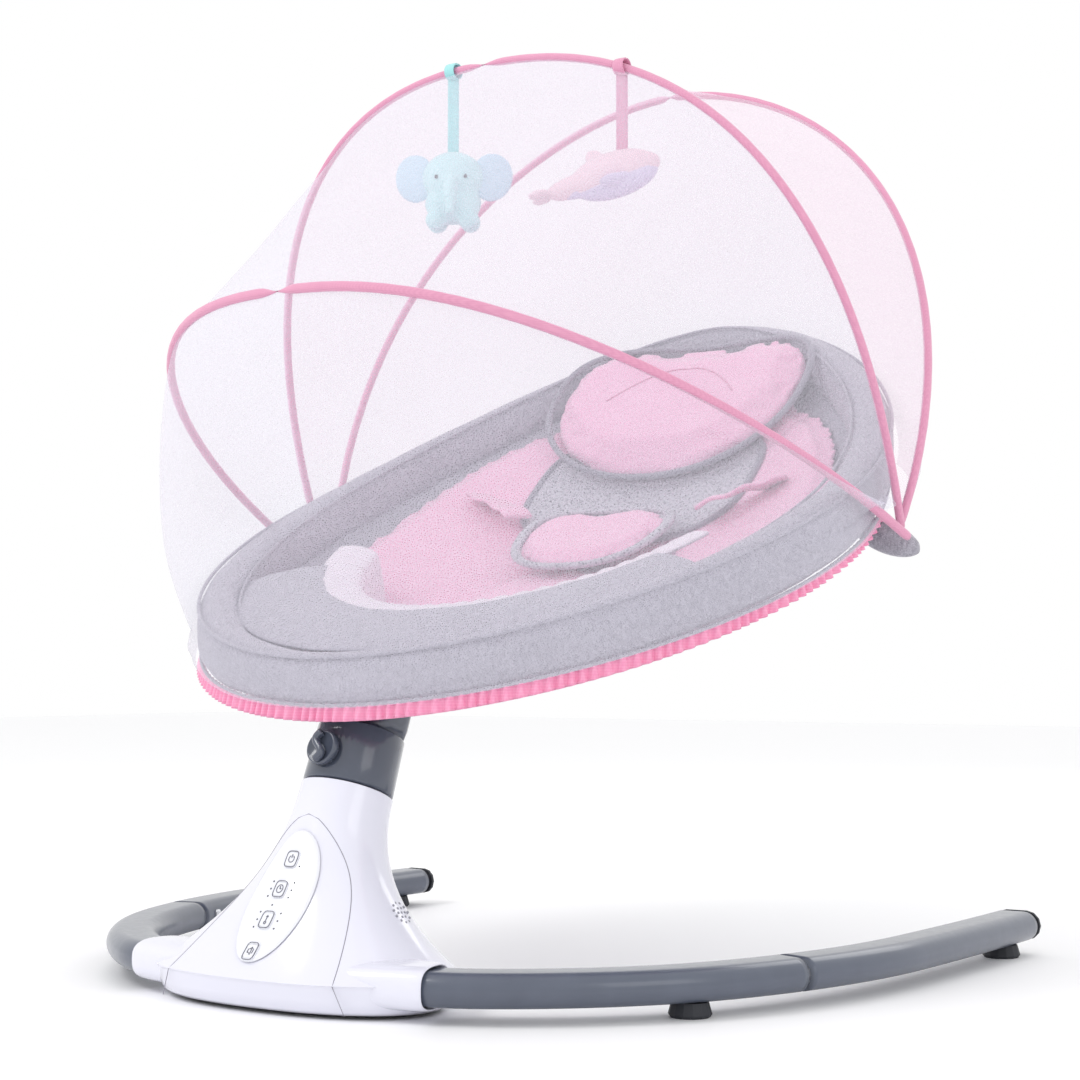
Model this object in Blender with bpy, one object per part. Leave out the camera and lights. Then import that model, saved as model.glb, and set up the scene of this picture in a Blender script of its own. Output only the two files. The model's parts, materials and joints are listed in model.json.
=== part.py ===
"""Electric baby swing: C-shaped floor base, drive housing, swinging seat ring with pads, folding net hood and toys.

Metres, +Z up, floor at z = 0, +X to the swing's right hand side, -Y towards the foot end.
"""
import bpy
import bmesh
from math import atan, cos, pi, radians, sin
from mathutils import Matrix, Vector

# ---------------------------------------------------------------- driving sizes
GAP = 0.0004  # between touching pieces
CLEAR = 0.0006  # between pieces that slide or turn

# floor base, a flat-oval steel tube bent to a C that is open behind
TUBE_WIDTH, TUBE_HEIGHT, TUBE_WALL = 0.038, 0.022, 0.0015
TUBE_FRONT_Y, TUBE_FRONT_HALF = -0.273, 0.1013  # the straight bar inside the housing
BENDS = (  # radius, and the heading where the bend ends
    (0.080, radians(30.9)),
    (0.274, radians(66.7)),
    (0.472, radians(88.3)),
    (3.100, radians(91.9)),
)
FOOT_HEIGHT, FOOT_RADIUS = 0.0095, 0.014
FRONT_FOOT_AT, REAR_FOOT_AT = 0.2816, 0.6576  # along the tube from the front centre
SEAM_AT = 0.3616
FRONT_STATIONS = (0.0, 0.098, 0.112, 0.126, 0.140, 0.170, 0.208, 0.246, 0.284, 0.322)  # up to the seam
JOINER_LENGTH = 0.080
PIN_RADIUS, PIN_STANDS_OUT, PIN_TRAVEL, PIN_AT = 0.004, 0.0022, 0.0030, 0.020

# swing axis
AXIS_LEAN = radians(21)
AXIS_POINT = Vector((0, -0.2147, 0.1338))

# housing
HOUSING_TOP_RADIUS = 0.0316
HOUSING_BASE_HALF_X, HOUSING_BASE_HALF_Y, HOUSING_BASE_POWER = 0.116, 0.064, 2.3
HOUSING_BASE_Y = -0.257
HOUSING_BOTTOM, HOUSING_SKIRT = 0.003, 0.022
HOUSING_TUCK = ((0.012, 0.003), (HOUSING_BOTTOM, 0.010))  # height, how far the skirt has drawn in
TUBE_MOUTH = ((0.080, 0.0100), (0.098, 0.0062), (0.112, 0.0036), (0.119, 0.0030))  # along the tube, wall
HOUSING_FLARE = 2.3
HOUSING_WALL = 0.0025
COVER_TOP_Z, COVER_SPREAD, COVER_POWER = 0.122, 0.29, 0.62

# controls
PANEL_HALF_X, PANEL_HALF_Z, PANEL_Z, PANEL_THICK = 0.0245, 0.040, 0.071, 0.0012
BUTTON_SIZE, BUTTON_HEIGHT, BUTTON_DEPTH = 0.0105, 0.0112, 0.0052
BUTTON_Z = (0.0920, 0.0735, 0.0550, 0.0365)
BUTTON_TRAVEL = 0.0008
BUTTON_PROUD = 0.0010
SWITCHES = ((0.0080, 0.0), (0.0080, 0.0), (0.0080, 0.0), (0.0052, 0.0025))  # how far back and up from each button

# drive
SHAFT_RADIUS, SHAFT_DOWN, SHAFT_UP = 0.006, 0.0540, 0.040
BEARING_RADIUS, BEARING_WIDTH = 0.013, 0.008
CARRIER_RADIUS, CARRIER_TOP, CARRIER_LENGTH = 0.0165, 0.004, 0.046
MAGNET_ARM, MAGNET_RADIUS = 0.025, 0.0075

# neck and seat bracket
NECK_RADIUS, NECK_TOP_RADIUS, NECK_HEIGHT, NECK_WALL = 0.0310, 0.0300, 0.042, 0.0030
KNOB_RADIUS, KNOB_AT = 0.0120, 0.0195

# seat ring
RING_Y = 0.020
RING_HALF_X, RING_FOOT, RING_HEAD = 0.250, 0.250, 0.285
RING_FOOT_POWER, RING_HEAD_POWER = 1.95, 1.80
RING_Z, RING_SLOPE, RING_CURVE, RING_LIFT = 0.320, 0.485, 0.340, 0.66
RING_TUBE, RING_STEPS = 0.0075, 36
RIM_HALF_WIDE, RIM_BORE = 0.0160, 0.0095
RIM_HALF_HIGH, RIM_SIDE_HALF_HIGH, RIM_SIDE_RISE = 0.0180, 0.0245, 0.0045
BUCKET_DEPTH, BUCKET_POWER, SLING_THICK = 0.080, 2.6, 0.0025

# net hood
HUB = Vector((0.0, 0.081, 0.305))
HOOP_TUBE = 0.0035
HOOPS = {  # name: half width, height, lean towards the foot, roundness, spread at mid height
    "rear": (0.2620, 0.4190, radians(-17.9), 1.80, 0.355),
    "mid": (0.2720, 0.3900, radians(21.1), 2.31, 0.09),
    "front": (0.2820, 0.4020, radians(66.7), 2.46, -0.195),
}
HUB_CLIP = 0.0022
EYE_RADIUS, EYE_THICK, HUB_PIN = 0.0095, 0.0040, 0.0032
NET_THICK, NET_EDGE, NET_NEAR = 0.0010, 0.0085, 0.035
HEM_THICK = 0.0020

SIDES = (("right", 1), ("left", -1))


# ---------------------------------------------------------------- helpers
for old in list(bpy.data.objects):
    bpy.data.objects.remove(old, do_unlink=True)


def material(name, colour, roughness, metallic=0.0, alpha=1.0):
    made = bpy.data.materials.get(name)
    if made is None:
        made = bpy.data.materials.new(name)
        made.use_nodes = True
        shader = made.node_tree.nodes["Principled BSDF"]
        shader.inputs["Base Color"].default_value = (*colour, 1.0)
        shader.inputs["Roughness"].default_value = roughness
        shader.inputs["Metallic"].default_value = metallic
        shader.inputs["Alpha"].default_value = alpha
    return made


STEEL_PAINT = material("steel_paint", (0.12, 0.14, 0.19), 0.42)
WHITE_PLASTIC = material("white_plastic", (0.78, 0.79, 0.86), 0.18)
GREY_PLASTIC = material("grey_plastic", (0.07, 0.08, 0.11), 0.25)
PANEL_WHITE = material("panel_white", (0.86, 0.87, 0.92), 0.12)
RUBBER = material("rubber", (0.02, 0.022, 0.03), 0.75)
STEEL = material("steel", (0.55, 0.56, 0.58), 0.32, 1.0)
COPPER = material("copper", (0.72, 0.32, 0.16), 0.35, 1.0)
BOARD_GREEN = material("board_green", (0.03, 0.17, 0.07), 0.5)
GREY_FABRIC = material("grey_fabric", (0.40, 0.39, 0.44), 0.9)
PINK_PLUSH = material("pink_plush", (0.90, 0.55, 0.72), 0.95)
PINK_TAPE = material("pink_tape", (0.85, 0.28, 0.48), 0.8)
GREY_MESH = material("grey_mesh", (0.50, 0.50, 0.55), 0.85)
NET = material("net", (0.82, 0.80, 0.90), 0.7, alpha=0.35)
TOY_AQUA = material("toy_aqua", (0.55, 0.80, 0.85), 0.95)
TOY_LILAC = material("toy_lilac", (0.78, 0.66, 0.80), 0.95)


def finish(name, bm, mat, place=None, smooth=40):
    """Closes the mesh's bookkeeping and gives the object its name, material and place."""
    bmesh.ops.recalc_face_normals(bm, faces=bm.faces)
    mesh = bpy.data.meshes.new(name)
    bm.to_mesh(mesh)
    bm.free()
    mesh.shade_smooth()
    mesh.set_sharp_from_angle(angle=radians(smooth))
    mesh.materials.append(mat)
    made = bpy.data.objects.new(name, mesh)
    bpy.context.scene.collection.objects.link(made)
    if place is not None:
        made.matrix_world = place
    return made


def add_rows(bm, rows, cyclic=False):
    """Joins equal rings of points with quads; an open stack is capped at both ends."""
    rows = [[bm.verts.new(p) for p in row] for row in rows]
    following = rows[1:] + rows[:1] if cyclic else rows[1:]
    for a, b in zip(rows, following):
        for i in range(len(a)):
            bm.faces.new((a[i - 1], a[i], b[i], b[i - 1]))
    if not cyclic:
        bm.faces.new(rows[0])
        bm.faces.new(rows[-1])


def loft(name, rows, mat, place=None, cyclic=False):
    bm = bmesh.new()
    add_rows(bm, rows, cyclic)
    return finish(name, bm, mat, place)


def turned_rows(profile, steps, place=Matrix()):
    """Rings of (radius, height) points about a place's Z axis."""
    turns = [2 * pi * i / steps for i in range(steps)]
    return [[place @ Vector((r * cos(a), r * sin(a), h)) for a in turns] for r, h in profile]


def turned(name, profile, mat, place=None, steps=20, cyclic=False):
    """A turned piece about its local Z axis. A cyclic profile makes a ring."""
    return loft(name, turned_rows(profile, steps), mat, place, cyclic)


def add_box(bm, low, high, place=Matrix()):
    size = Vector(high) - Vector(low)
    middle = (Vector(high) + Vector(low)) / 2
    spot = place @ Matrix.Translation(middle) @ Matrix.Diagonal((*size, 1))
    bmesh.ops.create_cube(bm, size=1, matrix=spot)


def add_cylinder(bm, radius, low, high, place=Matrix(), steps=12):
    spot = place @ Matrix.Translation((0, 0, (low + high) / 2))
    bmesh.ops.create_cone(
        bm, cap_ends=True, segments=steps, radius1=radius, radius2=radius, depth=high - low, matrix=spot
    )


def cut(target, cutter, operation="DIFFERENCE"):
    """Adds a live Boolean and hides its helper."""
    cutter.hide_render = True
    cutter.display_type = "WIRE"
    step = target.modifiers.new(cutter.name, "BOOLEAN")
    step.operation = operation
    step.object = cutter


def joint_empty(name, place, pieces):
    """An empty on a joint's axis, with the pieces that move about it as children."""
    empty = bpy.data.objects.new(name, None)
    empty.empty_display_size = 0.03
    bpy.context.scene.collection.objects.link(empty)
    empty.matrix_world = place
    bpy.context.view_layer.update()
    for piece in pieces:
        world = piece.matrix_world.copy()
        piece.parent = empty
        piece.matrix_parent_inverse = place.inverted()
        piece.matrix_world = world
    return empty


def stadium(width, height, steps=14):
    """A flat oval as (across, up) points: two half circles joined by straights."""
    r = height / 2
    half = steps // 2
    turns = [(-pi / 2 + pi * i / (half - 1), 1) for i in range(half)]
    turns += [(pi / 2 + pi * i / (half - 1), -1) for i in range(half)]
    return [(side * (width / 2 - r) + r * cos(a), r * sin(a)) for a, side in turns]


def circle(radius, steps=8):
    return [(radius * cos(2 * pi * i / steps), radius * sin(2 * pi * i / steps)) for i in range(steps)]


def sweep(path, profile, up, closed=False):
    """Rings of a profile carried along a path; up(i) is the profile's second direction.

    The profile is a list of points, or a function of i that gives one.
    """
    rows = []
    count = len(path)
    for i, point in enumerate(path):
        before = path[i - 1] if closed or i > 0 else path[i]
        after = path[(i + 1) % count] if closed or i < count - 1 else path[i]
        along = (after - before).normalized()
        across = along.cross(up(i)).normalized()
        over = across.cross(along).normalized()
        shape = profile(i) if callable(profile) else profile
        rows.append([point + across * a + over * b for a, b in shape])
    return rows


def sleeve(outer, inner):
    """The rings of an open-ended tube: out along the outside, back along the bore."""
    return outer + inner[::-1]


def aim(point, z_axis, x_axis=Vector((1, 0, 0))):
    """A place at a point with its local Z along one direction and X near another."""
    z = z_axis.normalized()
    y = z.cross(x_axis).normalized()
    x = y.cross(z)
    turn = Matrix((x, y, z)).transposed()
    return Matrix.Translation(point) @ turn.to_4x4()


# ---------------------------------------------------------------- floor base
TUBE_Z = FOOT_HEIGHT + GAP + TUBE_HEIGHT / 2


def base_arcs():
    """(length, start point, start heading, radius) of each bend of the right half."""
    spot, heading, found = Vector((TUBE_FRONT_HALF, TUBE_FRONT_Y)), 0.0, []
    for radius, until in BENDS:
        found.append((radius * (until - heading), spot, heading, radius))
        step = Vector((sin(until) - sin(heading), cos(heading) - cos(until)))
        spot, heading = spot + radius * step, until
    return found


BASE_ARCS = base_arcs()
ARM_LENGTH = TUBE_FRONT_HALF + sum(arc[0] for arc in BASE_ARCS)


def base_frame(s):
    """A place on the tube's centre line, s along it from the front centre and negative on the left.

    Local X runs along the tube, Y to the inside of the C and Z up.
    """
    side = 1 if s >= 0 else -1
    x, y, heading = abs(s), TUBE_FRONT_Y, 0.0
    left = abs(s) - TUBE_FRONT_HALF
    for length, spot, begin, radius in BASE_ARCS:
        if left <= 0:
            break
        heading = begin + min(left, length) / radius if radius != BENDS[-1][0] else begin + left / radius
        x = spot.x + radius * (sin(heading) - sin(begin))
        y = spot.y + radius * (cos(begin) - cos(heading))
        left -= length
    along = Vector((cos(heading), side * sin(heading), 0))
    up = Vector((0, 0, 1))
    turn = Matrix((along, up.cross(along), up)).transposed()
    return Matrix.Translation((side * x, y, TUBE_Z)) @ turn.to_4x4()


def even(start, stop, steps):
    return [start + (stop - start) * i / steps for i in range(steps + 1)]


def both_ways(stations):
    """The same distances to the left and to the right of the front centre."""
    return [-s for s in stations[:0:-1]] + list(stations)


def tube_rings(stations, inset):
    """Rings of the flat oval at these distances along the tube."""
    shape = stadium(TUBE_WIDTH - 2 * inset, TUBE_HEIGHT - 2 * inset)
    return [[base_frame(s) @ Vector((0, across, up)) for across, up in shape] for s in stations]


def tube(name, stations):
    rows = sleeve(tube_rings(stations, 0), tube_rings(stations, TUBE_WALL))
    return loft(name, rows, STEEL_PAINT, cyclic=True)


def build_base():
    tube("base_front_tube", both_ways(FRONT_STATIONS + (SEAM_AT - GAP,)))
    inset = TUBE_WALL + CLEAR
    half = JOINER_LENGTH / 2
    for label, side in SIDES:
        rear = tube(f"base_rear_tube_{label}", even(side * (SEAM_AT + GAP), side * ARM_LENGTH, 7))
        within = even(side * (SEAM_AT - half), side * (SEAM_AT + half), 5)
        joined = [tube_rings(within, inset + CLEAR + wall) for wall in (0, TUBE_WALL)]
        joiner = loft(f"tube_joiner_{label}", sleeve(*joined), STEEL, cyclic=True)
        # the snap pin faces the inside of the C, through the tube's and the joiner's walls
        frame = base_frame(side * (SEAM_AT + PIN_AT))
        inward = frame.to_3x3() @ Vector((0, 1, 0))
        pin_place = aim(frame.translation + inward * (TUBE_WIDTH / 2), inward, Vector((0, 0, 1)))
        pin = turned(
            f"snap_pin_{label}",
            [
                (PIN_RADIUS * 0.6, PIN_STANDS_OUT),
                (PIN_RADIUS, PIN_STANDS_OUT - 0.001),
                (PIN_RADIUS, -0.008),
            ],
            STEEL,
            pin_place,
            steps=12,
        )
        bore = bmesh.new()
        add_cylinder(bore, PIN_RADIUS + CLEAR, -0.009, 0.006, pin_place)
        hole = finish(f"pin_hole_{label}", bore, STEEL)
        cut(rear, hole)
        cut(joiner, hole)
        joint_empty(f"snap_pin_{label}_joint", pin_place, [pin])
        # end plug, a stub inside the tube and a lip outside
        lip, stub = 0.004, 0.022
        end = ARM_LENGTH + GAP
        plug = tube_rings(even(side * (ARM_LENGTH - stub), side * end, 2), inset)
        plug += tube_rings((side * end, side * (end + lip * 0.7)), 0) + tube_rings([side * (end + lip)], 0.004)
        loft(f"tube_end_cap_{label}", plug, RUBBER)
        for place, at in (("front", FRONT_FOOT_AT), ("rear", REAR_FOOT_AT)):
            spot = base_frame(side * at).translation
            foot = [(FOOT_RADIUS * 0.9, 0), (FOOT_RADIUS, 0.002), (FOOT_RADIUS * 0.85, FOOT_HEIGHT)]
            turned(f"rubber_foot_{place}_{label}", foot, RUBBER, Matrix.Translation((spot.x, spot.y, 0)), 14)


# ---------------------------------------------------------------- housing
AXIS_UP = Vector((0, sin(AXIS_LEAN), cos(AXIS_LEAN)))
AXIS_PLACE = aim(AXIS_POINT, AXIS_UP)


def housing_ring(down, inset, steps=24):
    """A ring of the housing: down is 0 at the neck and 1 at the top of the skirt."""
    swell = down**HOUSING_FLARE
    half_x = HOUSING_TOP_RADIUS + (HOUSING_BASE_HALF_X - HOUSING_TOP_RADIUS) * swell - inset
    half_y = HOUSING_TOP_RADIUS + (HOUSING_BASE_HALF_Y - HOUSING_TOP_RADIUS) * swell - inset
    lean = AXIS_LEAN * (1 - down) ** 1.5
    middle = Vector((0, AXIS_POINT.y, AXIS_POINT.z)).lerp(Vector((0, HOUSING_BASE_Y, HOUSING_SKIRT)), down)
    across = Vector((0, cos(lean), -sin(lean)))
    shape = 2 / (2 + (HOUSING_BASE_POWER - 2) * down)
    turns = [2 * pi * i / steps for i in range(steps)]
    return [
        middle + Vector((half_x * power(cos(a), shape), 0, 0)) + across * half_y * power(sin(a), shape)
        for a in turns
    ]


def shifted(ring, rise):
    return [p + AXIS_UP * rise for p in ring]


def housing_rows(inset, downs):
    skirt = [[Vector((p.x, p.y, z)) for p in housing_ring(1, inset + tuck)] for z, tuck in HOUSING_TUCK]
    return [housing_ring(d, inset) for d in downs] + skirt


def housing_shell(name, mat=None):
    """The whole hollow casing, open below and with a round opening for the shaft above."""
    downs = [0, 0.16, 0.32, 0.46, 0.58, 0.69, 0.79, 0.88, 0.95, 1.0]
    mouth = HOUSING_TOP_RADIUS - (SHAFT_RADIUS + 0.004)
    outer = housing_rows(0, downs)
    inner = housing_rows(HOUSING_WALL, downs)
    inner[0] = shifted(inner[0], -HOUSING_WALL)
    rows = [housing_ring(0, mouth)] + outer + inner[::-1] + [shifted(housing_ring(0, mouth), -HOUSING_WALL)]
    return loft(name, rows, mat or WHITE_PLASTIC, cyclic=True)


def front_surface(z, proud=0.0):
    """(point, outward normal) of the housing on its front middle line at about this height."""
    down = (AXIS_POINT.z - z) / (AXIS_POINT.z - HOUSING_SKIRT)

    def at(d):
        return min(housing_ring(min(max(d, 0), 1), 0, 4), key=lambda p: p.y)

    for _ in range(4):  # the rings lean, so the front point of a ring is not at its middle's height
        down += (at(down).z - z) / (AXIS_POINT.z - HOUSING_SKIRT)
    slope = (at(down + 0.04) - at(down - 0.04)).normalized()
    normal = Vector((0, slope.z, -slope.y))
    if normal.y > 0:
        normal = -normal
    return at(down) + normal * proud, normal


def cover_prism(name, grow):
    """The outline of the front cover, drawn through the housing from in front."""
    heights = [HOUSING_BOTTOM - 0.01, 0.012, 0.030, 0.050, 0.070, 0.088, 0.102, 0.112, 0.1185, COVER_TOP_Z]
    half = [COVER_SPREAD * max(COVER_TOP_Z - z, 0) ** COVER_POWER + grow for z in heights[:-1]]
    outline = [(w, z) for w, z in zip(half, heights)]
    outline += [(0.0035 + grow, COVER_TOP_Z + grow)]
    outline += [(-x, z) for x, z in outline[::-1]]
    near, far = HOUSING_BASE_Y - 0.12, HOUSING_BASE_Y + 0.021 + grow
    return loft(name, [[(x, y, z) for x, z in outline] for y in (near, far)], WHITE_PLASTIC)


def panel_prism(name, half_x, half_z):
    """An oval drawn through the front of the housing, narrower at the top."""
    outline = []
    for i in range(20):
        a = 2 * pi * i / 20
        taper = 1 - 0.10 * sin(a)
        outline.append((half_x * taper * cos(a), PANEL_Z + half_z * sin(a)))
    near, far = HOUSING_BASE_Y - 0.12, HOUSING_BASE_Y + 0.01
    return loft(name, [[(x, y, z) for x, z in outline] for y in (near, far)], PANEL_WHITE)


def button_place(z):
    point, normal = front_surface(z, GAP + PANEL_THICK + BUTTON_PROUD)
    return aim(point, normal, Vector((1, 0, 0)))


def rounded_square(half_x, half_y, corner=0.35, steps=12):
    points = []
    for i in range(steps):
        a = 2 * pi * (i + 0.5) / steps
        c, s = cos(a), sin(a)
        points.append((half_x * abs(c) ** corner * (1 if c > 0 else -1), half_y * abs(s) ** corner * (1 if s > 0 else -1)))
    return points


def speaker_spots():
    """Local (across, up) places of the grille's holes: a ring round a centre, then a wider ring."""
    spots = [(0.0, 0.0)]
    for count, radius in ((5, 0.0042), (9, 0.0082)):
        spots += [(radius * cos(2 * pi * i / count), radius * sin(2 * pi * i / count)) for i in range(count)]
    return spots


SPEAKER_TURN = radians(8)  # round the housing from +X
SPEAKER_DOWN = 0.66


def speaker_place():
    """On the right flank, pointing out of the housing."""
    ring = housing_ring(SPEAKER_DOWN, 0, 360)
    lower = housing_ring(SPEAKER_DOWN + 0.03, 0, 360)
    i = round(SPEAKER_TURN / (2 * pi) * 360) % 360
    along = ring[(i + 1) % 360] - ring[i - 1]
    normal = along.cross(lower[i] - ring[i]).normalized()
    if normal.x < 0:
        normal = -normal
    return aim(ring[i], normal, Vector((0, 1, 0)))


def build_housing():
    rear = housing_shell("housing_rear_shell")
    front = housing_shell("housing_front_cover")
    cut(front, cover_prism("front_cover_outline", 0), "INTERSECT")
    cut(rear, cover_prism("front_cover_gap", GAP))

    # the base tube leaves through a spout in each flank
    for label, side in SIDES:
        rows = []
        for s, wall in TUBE_MOUTH:
            shape = stadium(TUBE_WIDTH + 2 * wall, TUBE_HEIGHT + 2 * min(wall, 0.0038))
            rows.append([base_frame(side * s) @ Vector((0, across, up)) for across, up in shape])
        cut(rear, loft(f"tube_mouth_{label}", rows, WHITE_PLASTIC), "UNION")
    cut(rear, loft("tube_passage", tube_rings(both_ways(FRONT_STATIONS[:6]), -0.0012), RUBBER))

    # control panel: a thin oval that follows the front
    panel = loft(
        "control_panel",
        sleeve(
            housing_rows(-GAP - PANEL_THICK, [0.05, 0.2, 0.35, 0.5, 0.62, 0.73, 0.83, 0.92, 1.0]),
            housing_rows(-GAP, [0.05, 0.2, 0.35, 0.5, 0.62, 0.73, 0.83, 0.92, 1.0]),
        ),
        PANEL_WHITE,
        cyclic=True,
    )
    cut(panel, panel_prism("panel_outline", PANEL_HALF_X, PANEL_HALF_Z), "INTERSECT")
    slots = bmesh.new()
    for i, z in enumerate(BUTTON_Z):
        place = button_place(z)
        outline = rounded_square(BUTTON_SIZE / 2, BUTTON_HEIGHT / 2)
        crown = rounded_square(BUTTON_SIZE / 2 - 0.001, BUTTON_HEIGHT / 2 - 0.001)
        button = loft(
            f"button_{i + 1}",
            [[(x, y, -BUTTON_DEPTH) for x, y in outline], [(x, y, -0.0005) for x, y in outline], [(x, y, 0) for x, y in crown]],
            PANEL_WHITE,
            place,
        )
        joint_empty(f"button_{i + 1}_joint", place, [button])
        wide = rounded_square(BUTTON_SIZE / 2 + CLEAR, BUTTON_HEIGHT / 2 + CLEAR)
        add_rows(slots, [[place @ Vector((x, y, h)) for x, y in wide] for h in (-0.012, 0.006)])
    slot = finish("button_slots", slots, RUBBER)
    cut(panel, slot)
    cut(front, slot)

    # speaker grille in the right flank and the driver behind it
    spot = speaker_place()
    holes = bmesh.new()
    for x, y in speaker_spots():
        add_cylinder(holes, 0.0009, -0.006, 0.004, spot @ Matrix.Translation((x, y, 0)), steps=6)
    cut(rear, finish("speaker_holes", holes, RUBBER))
    turned(
        "speaker_driver",
        [(0.0105, -0.0060), (0.0115, -0.0065), (0.0115, -0.009), (0.0070, -0.011), (0.0070, -0.015)],
        STEEL,
        spot,
        steps=14,
    )

    # power inlet at the back
    back = max(housing_ring(0.97, 0, 4), key=lambda p: p.y)
    inlet = aim(Vector((0, back.y, 0.0225)), Vector((0, 1, 0)))
    turned(
        "power_inlet",
        [(0.0032, 0.0010), (0.0055, 0.0010), (0.0055, -0.0110), (0.0018, -0.0110), (0.0018, -0.0090), (0.0032, -0.0090)],
        GREY_PLASTIC,
        inlet,
        steps=14,
        cyclic=True,
    )
    hole = bmesh.new()
    add_cylinder(hole, 0.0055 + GAP, -0.02, 0.02, inlet, steps=14)
    cut(rear, finish("inlet_hole", hole, RUBBER))

    # bottom plate inside the skirt
    rim = [Vector((p.x, p.y, 0)) for p in housing_ring(1, HOUSING_TUCK[-1][1] + HOUSING_WALL + GAP)]
    rows = [[p + Vector((0, 0, z)) for p in rim] for z in (HOUSING_BOTTOM, 0.0055)]
    loft("housing_bottom_plate", rows, GREY_PLASTIC)


# ---------------------------------------------------------------- drive, on the leaning swing axis
def build_drive():
    """Bracket, bearings, shaft, and the magnet arm that the coil pushes."""
    floor = TUBE_Z + TUBE_HEIGHT / 2 + CLEAR
    plate_top = floor + 0.003
    bracket = turned(
        "main_bracket",
        [
            (BEARING_RADIUS + GAP, -CARRIER_TOP),
            (CARRIER_RADIUS, -CARRIER_TOP),
            (CARRIER_RADIUS, -CARRIER_TOP - CARRIER_LENGTH),
            (BEARING_RADIUS + GAP, -CARRIER_TOP - CARRIER_LENGTH),
        ],
        STEEL,
        AXIS_PLACE,
        steps=20,
        cyclic=True,
    )
    plate = bmesh.new()
    add_box(plate, (-0.044, -0.286, floor), (0.044, -0.222, plate_top))
    cut(bracket, finish("bracket_foot", plate, STEEL), "UNION")
    web = [(-0.283, floor + 0.001), (-0.218, floor + 0.001), (-0.2065, 0.045), (-0.2065, 0.062), (-0.2135, 0.092)]
    web += [(-0.2085, 0.118), (-0.2260, 0.1245), (-0.2460, 0.085)]
    for label, side in SIDES:
        x = side * (CARRIER_RADIUS - 0.0015)
        rows = [[(x + side * t, y, z) for y, z in web] for t in (0, 0.003)]
        cut(bracket, loft(f"bracket_web_{label}", rows, STEEL), "UNION")
    coil_top = -SHAFT_DOWN - 0.0135
    shelf = bmesh.new()
    add_box(shelf, (-CARRIER_RADIUS, 0.012, coil_top - 0.011), (CARRIER_RADIUS, 0.038, coil_top - 0.008), AXIS_PLACE)
    cut(bracket, finish("coil_shelf", shelf, STEEL), "UNION")

    # strap that holds the base tube up against the bracket's foot
    wide, deep = TUBE_WIDTH / 2 + CLEAR, TUBE_HEIGHT / 2 + CLEAR
    strap = 0.0026
    outline = [(-wide - strap, deep), (-wide - strap, -deep - strap), (wide + strap, -deep - strap), (wide + strap, deep)]
    outline += [(wide, deep), (wide, -deep), (-wide, -deep), (-wide, deep)]
    frames = [base_frame(x) for x in (-0.045, 0.045)]
    loft("tube_clamp", [[frame @ Vector((0, y, z - GAP)) for y, z in outline] for frame in frames], STEEL)

    bore, rim = SHAFT_RADIUS + CLEAR, BEARING_RADIUS
    lower = -CARRIER_TOP - CARRIER_LENGTH + BEARING_WIDTH + 0.001
    for name, top in (("upper_bearing", -CARRIER_TOP - 0.002), ("lower_bearing", lower)):
        low = top - BEARING_WIDTH
        race = [(bore, top), (rim, top), (rim, low), (bore, low)]
        turned(name, race, STEEL, AXIS_PLACE, steps=16, cyclic=True)
    shaft = turned("swing_shaft", [(SHAFT_RADIUS, -SHAFT_DOWN), (SHAFT_RADIUS, SHAFT_UP)], STEEL, AXIS_PLACE, 14)
    arm_top = -SHAFT_DOWN - GAP
    outline = [(0.011 * cos(a), 0.011 * sin(a)) for a in (pi + pi * i / 6 for i in range(7))]
    end = MAGNET_RADIUS + 0.001
    outline += [(end * cos(a), MAGNET_ARM + end * sin(a)) for a in (pi * i / 6 for i in range(7))]
    arm = loft("magnet_arm", [[(x, y, h) for x, y in outline] for h in (arm_top, arm_top - 0.0060)], GREY_PLASTIC, AXIS_PLACE)
    beside = AXIS_PLACE @ Matrix.Translation((0, MAGNET_ARM, 0))
    magnet_top = arm_top - 0.0060 - GAP
    magnet = turned(
        "drive_magnet", [(MAGNET_RADIUS, magnet_top), (MAGNET_RADIUS, magnet_top - 0.0040)], STEEL, beside, 14
    )
    turned(
        "drive_coil",
        [(0.0045, coil_top), (0.0120, coil_top), (0.0120, coil_top - 0.0075), (0.0045, coil_top - 0.0075)],
        COPPER,
        beside,
        steps=16,
        cyclic=True,
    )

    # circuit board that follows the front cover, and a switch under each button
    follows = ((0.28, 0.0120), (0.45, 0.0120), (0.60, 0.0120), (0.74, 0.0115), (0.86, 0.0090), (0.95, 0.0080))
    sheets = [[housing_ring(down, inset + thick) for down, inset in follows] for thick in (0, 0.0022)]
    board = loft("circuit_board", sleeve(*sheets), BOARD_GREEN, cyclic=True)
    cut(board, panel_prism("board_outline", PANEL_HALF_X * 0.8, PANEL_HALF_Z * 0.92), "INTERSECT")
    switches = bmesh.new()
    for z, (reach, rise) in zip(BUTTON_Z, SWITCHES):
        deep = -BUTTON_DEPTH - BUTTON_TRAVEL - GAP
        add_box(switches, (-0.003, rise, deep - reach), (0.003, rise + 0.0038, deep), button_place(z))
    cut(board, finish("board_switches", switches, GREY_PLASTIC), "UNION")
    return [shaft, arm, magnet]


# ---------------------------------------------------------------- seat ring and soft parts
def ring_z(y):
    w = y - RING_Y
    return RING_Z + RING_SLOPE * w + RING_CURVE * w**2 + RING_LIFT * w**3


def power(value, exponent):
    return abs(value) ** exponent * (1 if value >= 0 else -1)


def ring_point(t):
    """The seat ring's centre line: t is 0 at the head, 90 degrees at the right and 180 at the foot."""
    s, c = sin(t), cos(t)
    reach, shape = (RING_HEAD, RING_HEAD_POWER) if c > 0 else (RING_FOOT, RING_FOOT_POWER)
    x = RING_HALF_X * power(s, 2 / shape)
    y = RING_Y + reach * power(c, 2 / shape)
    return Vector((x, y, ring_z(y)))


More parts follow.
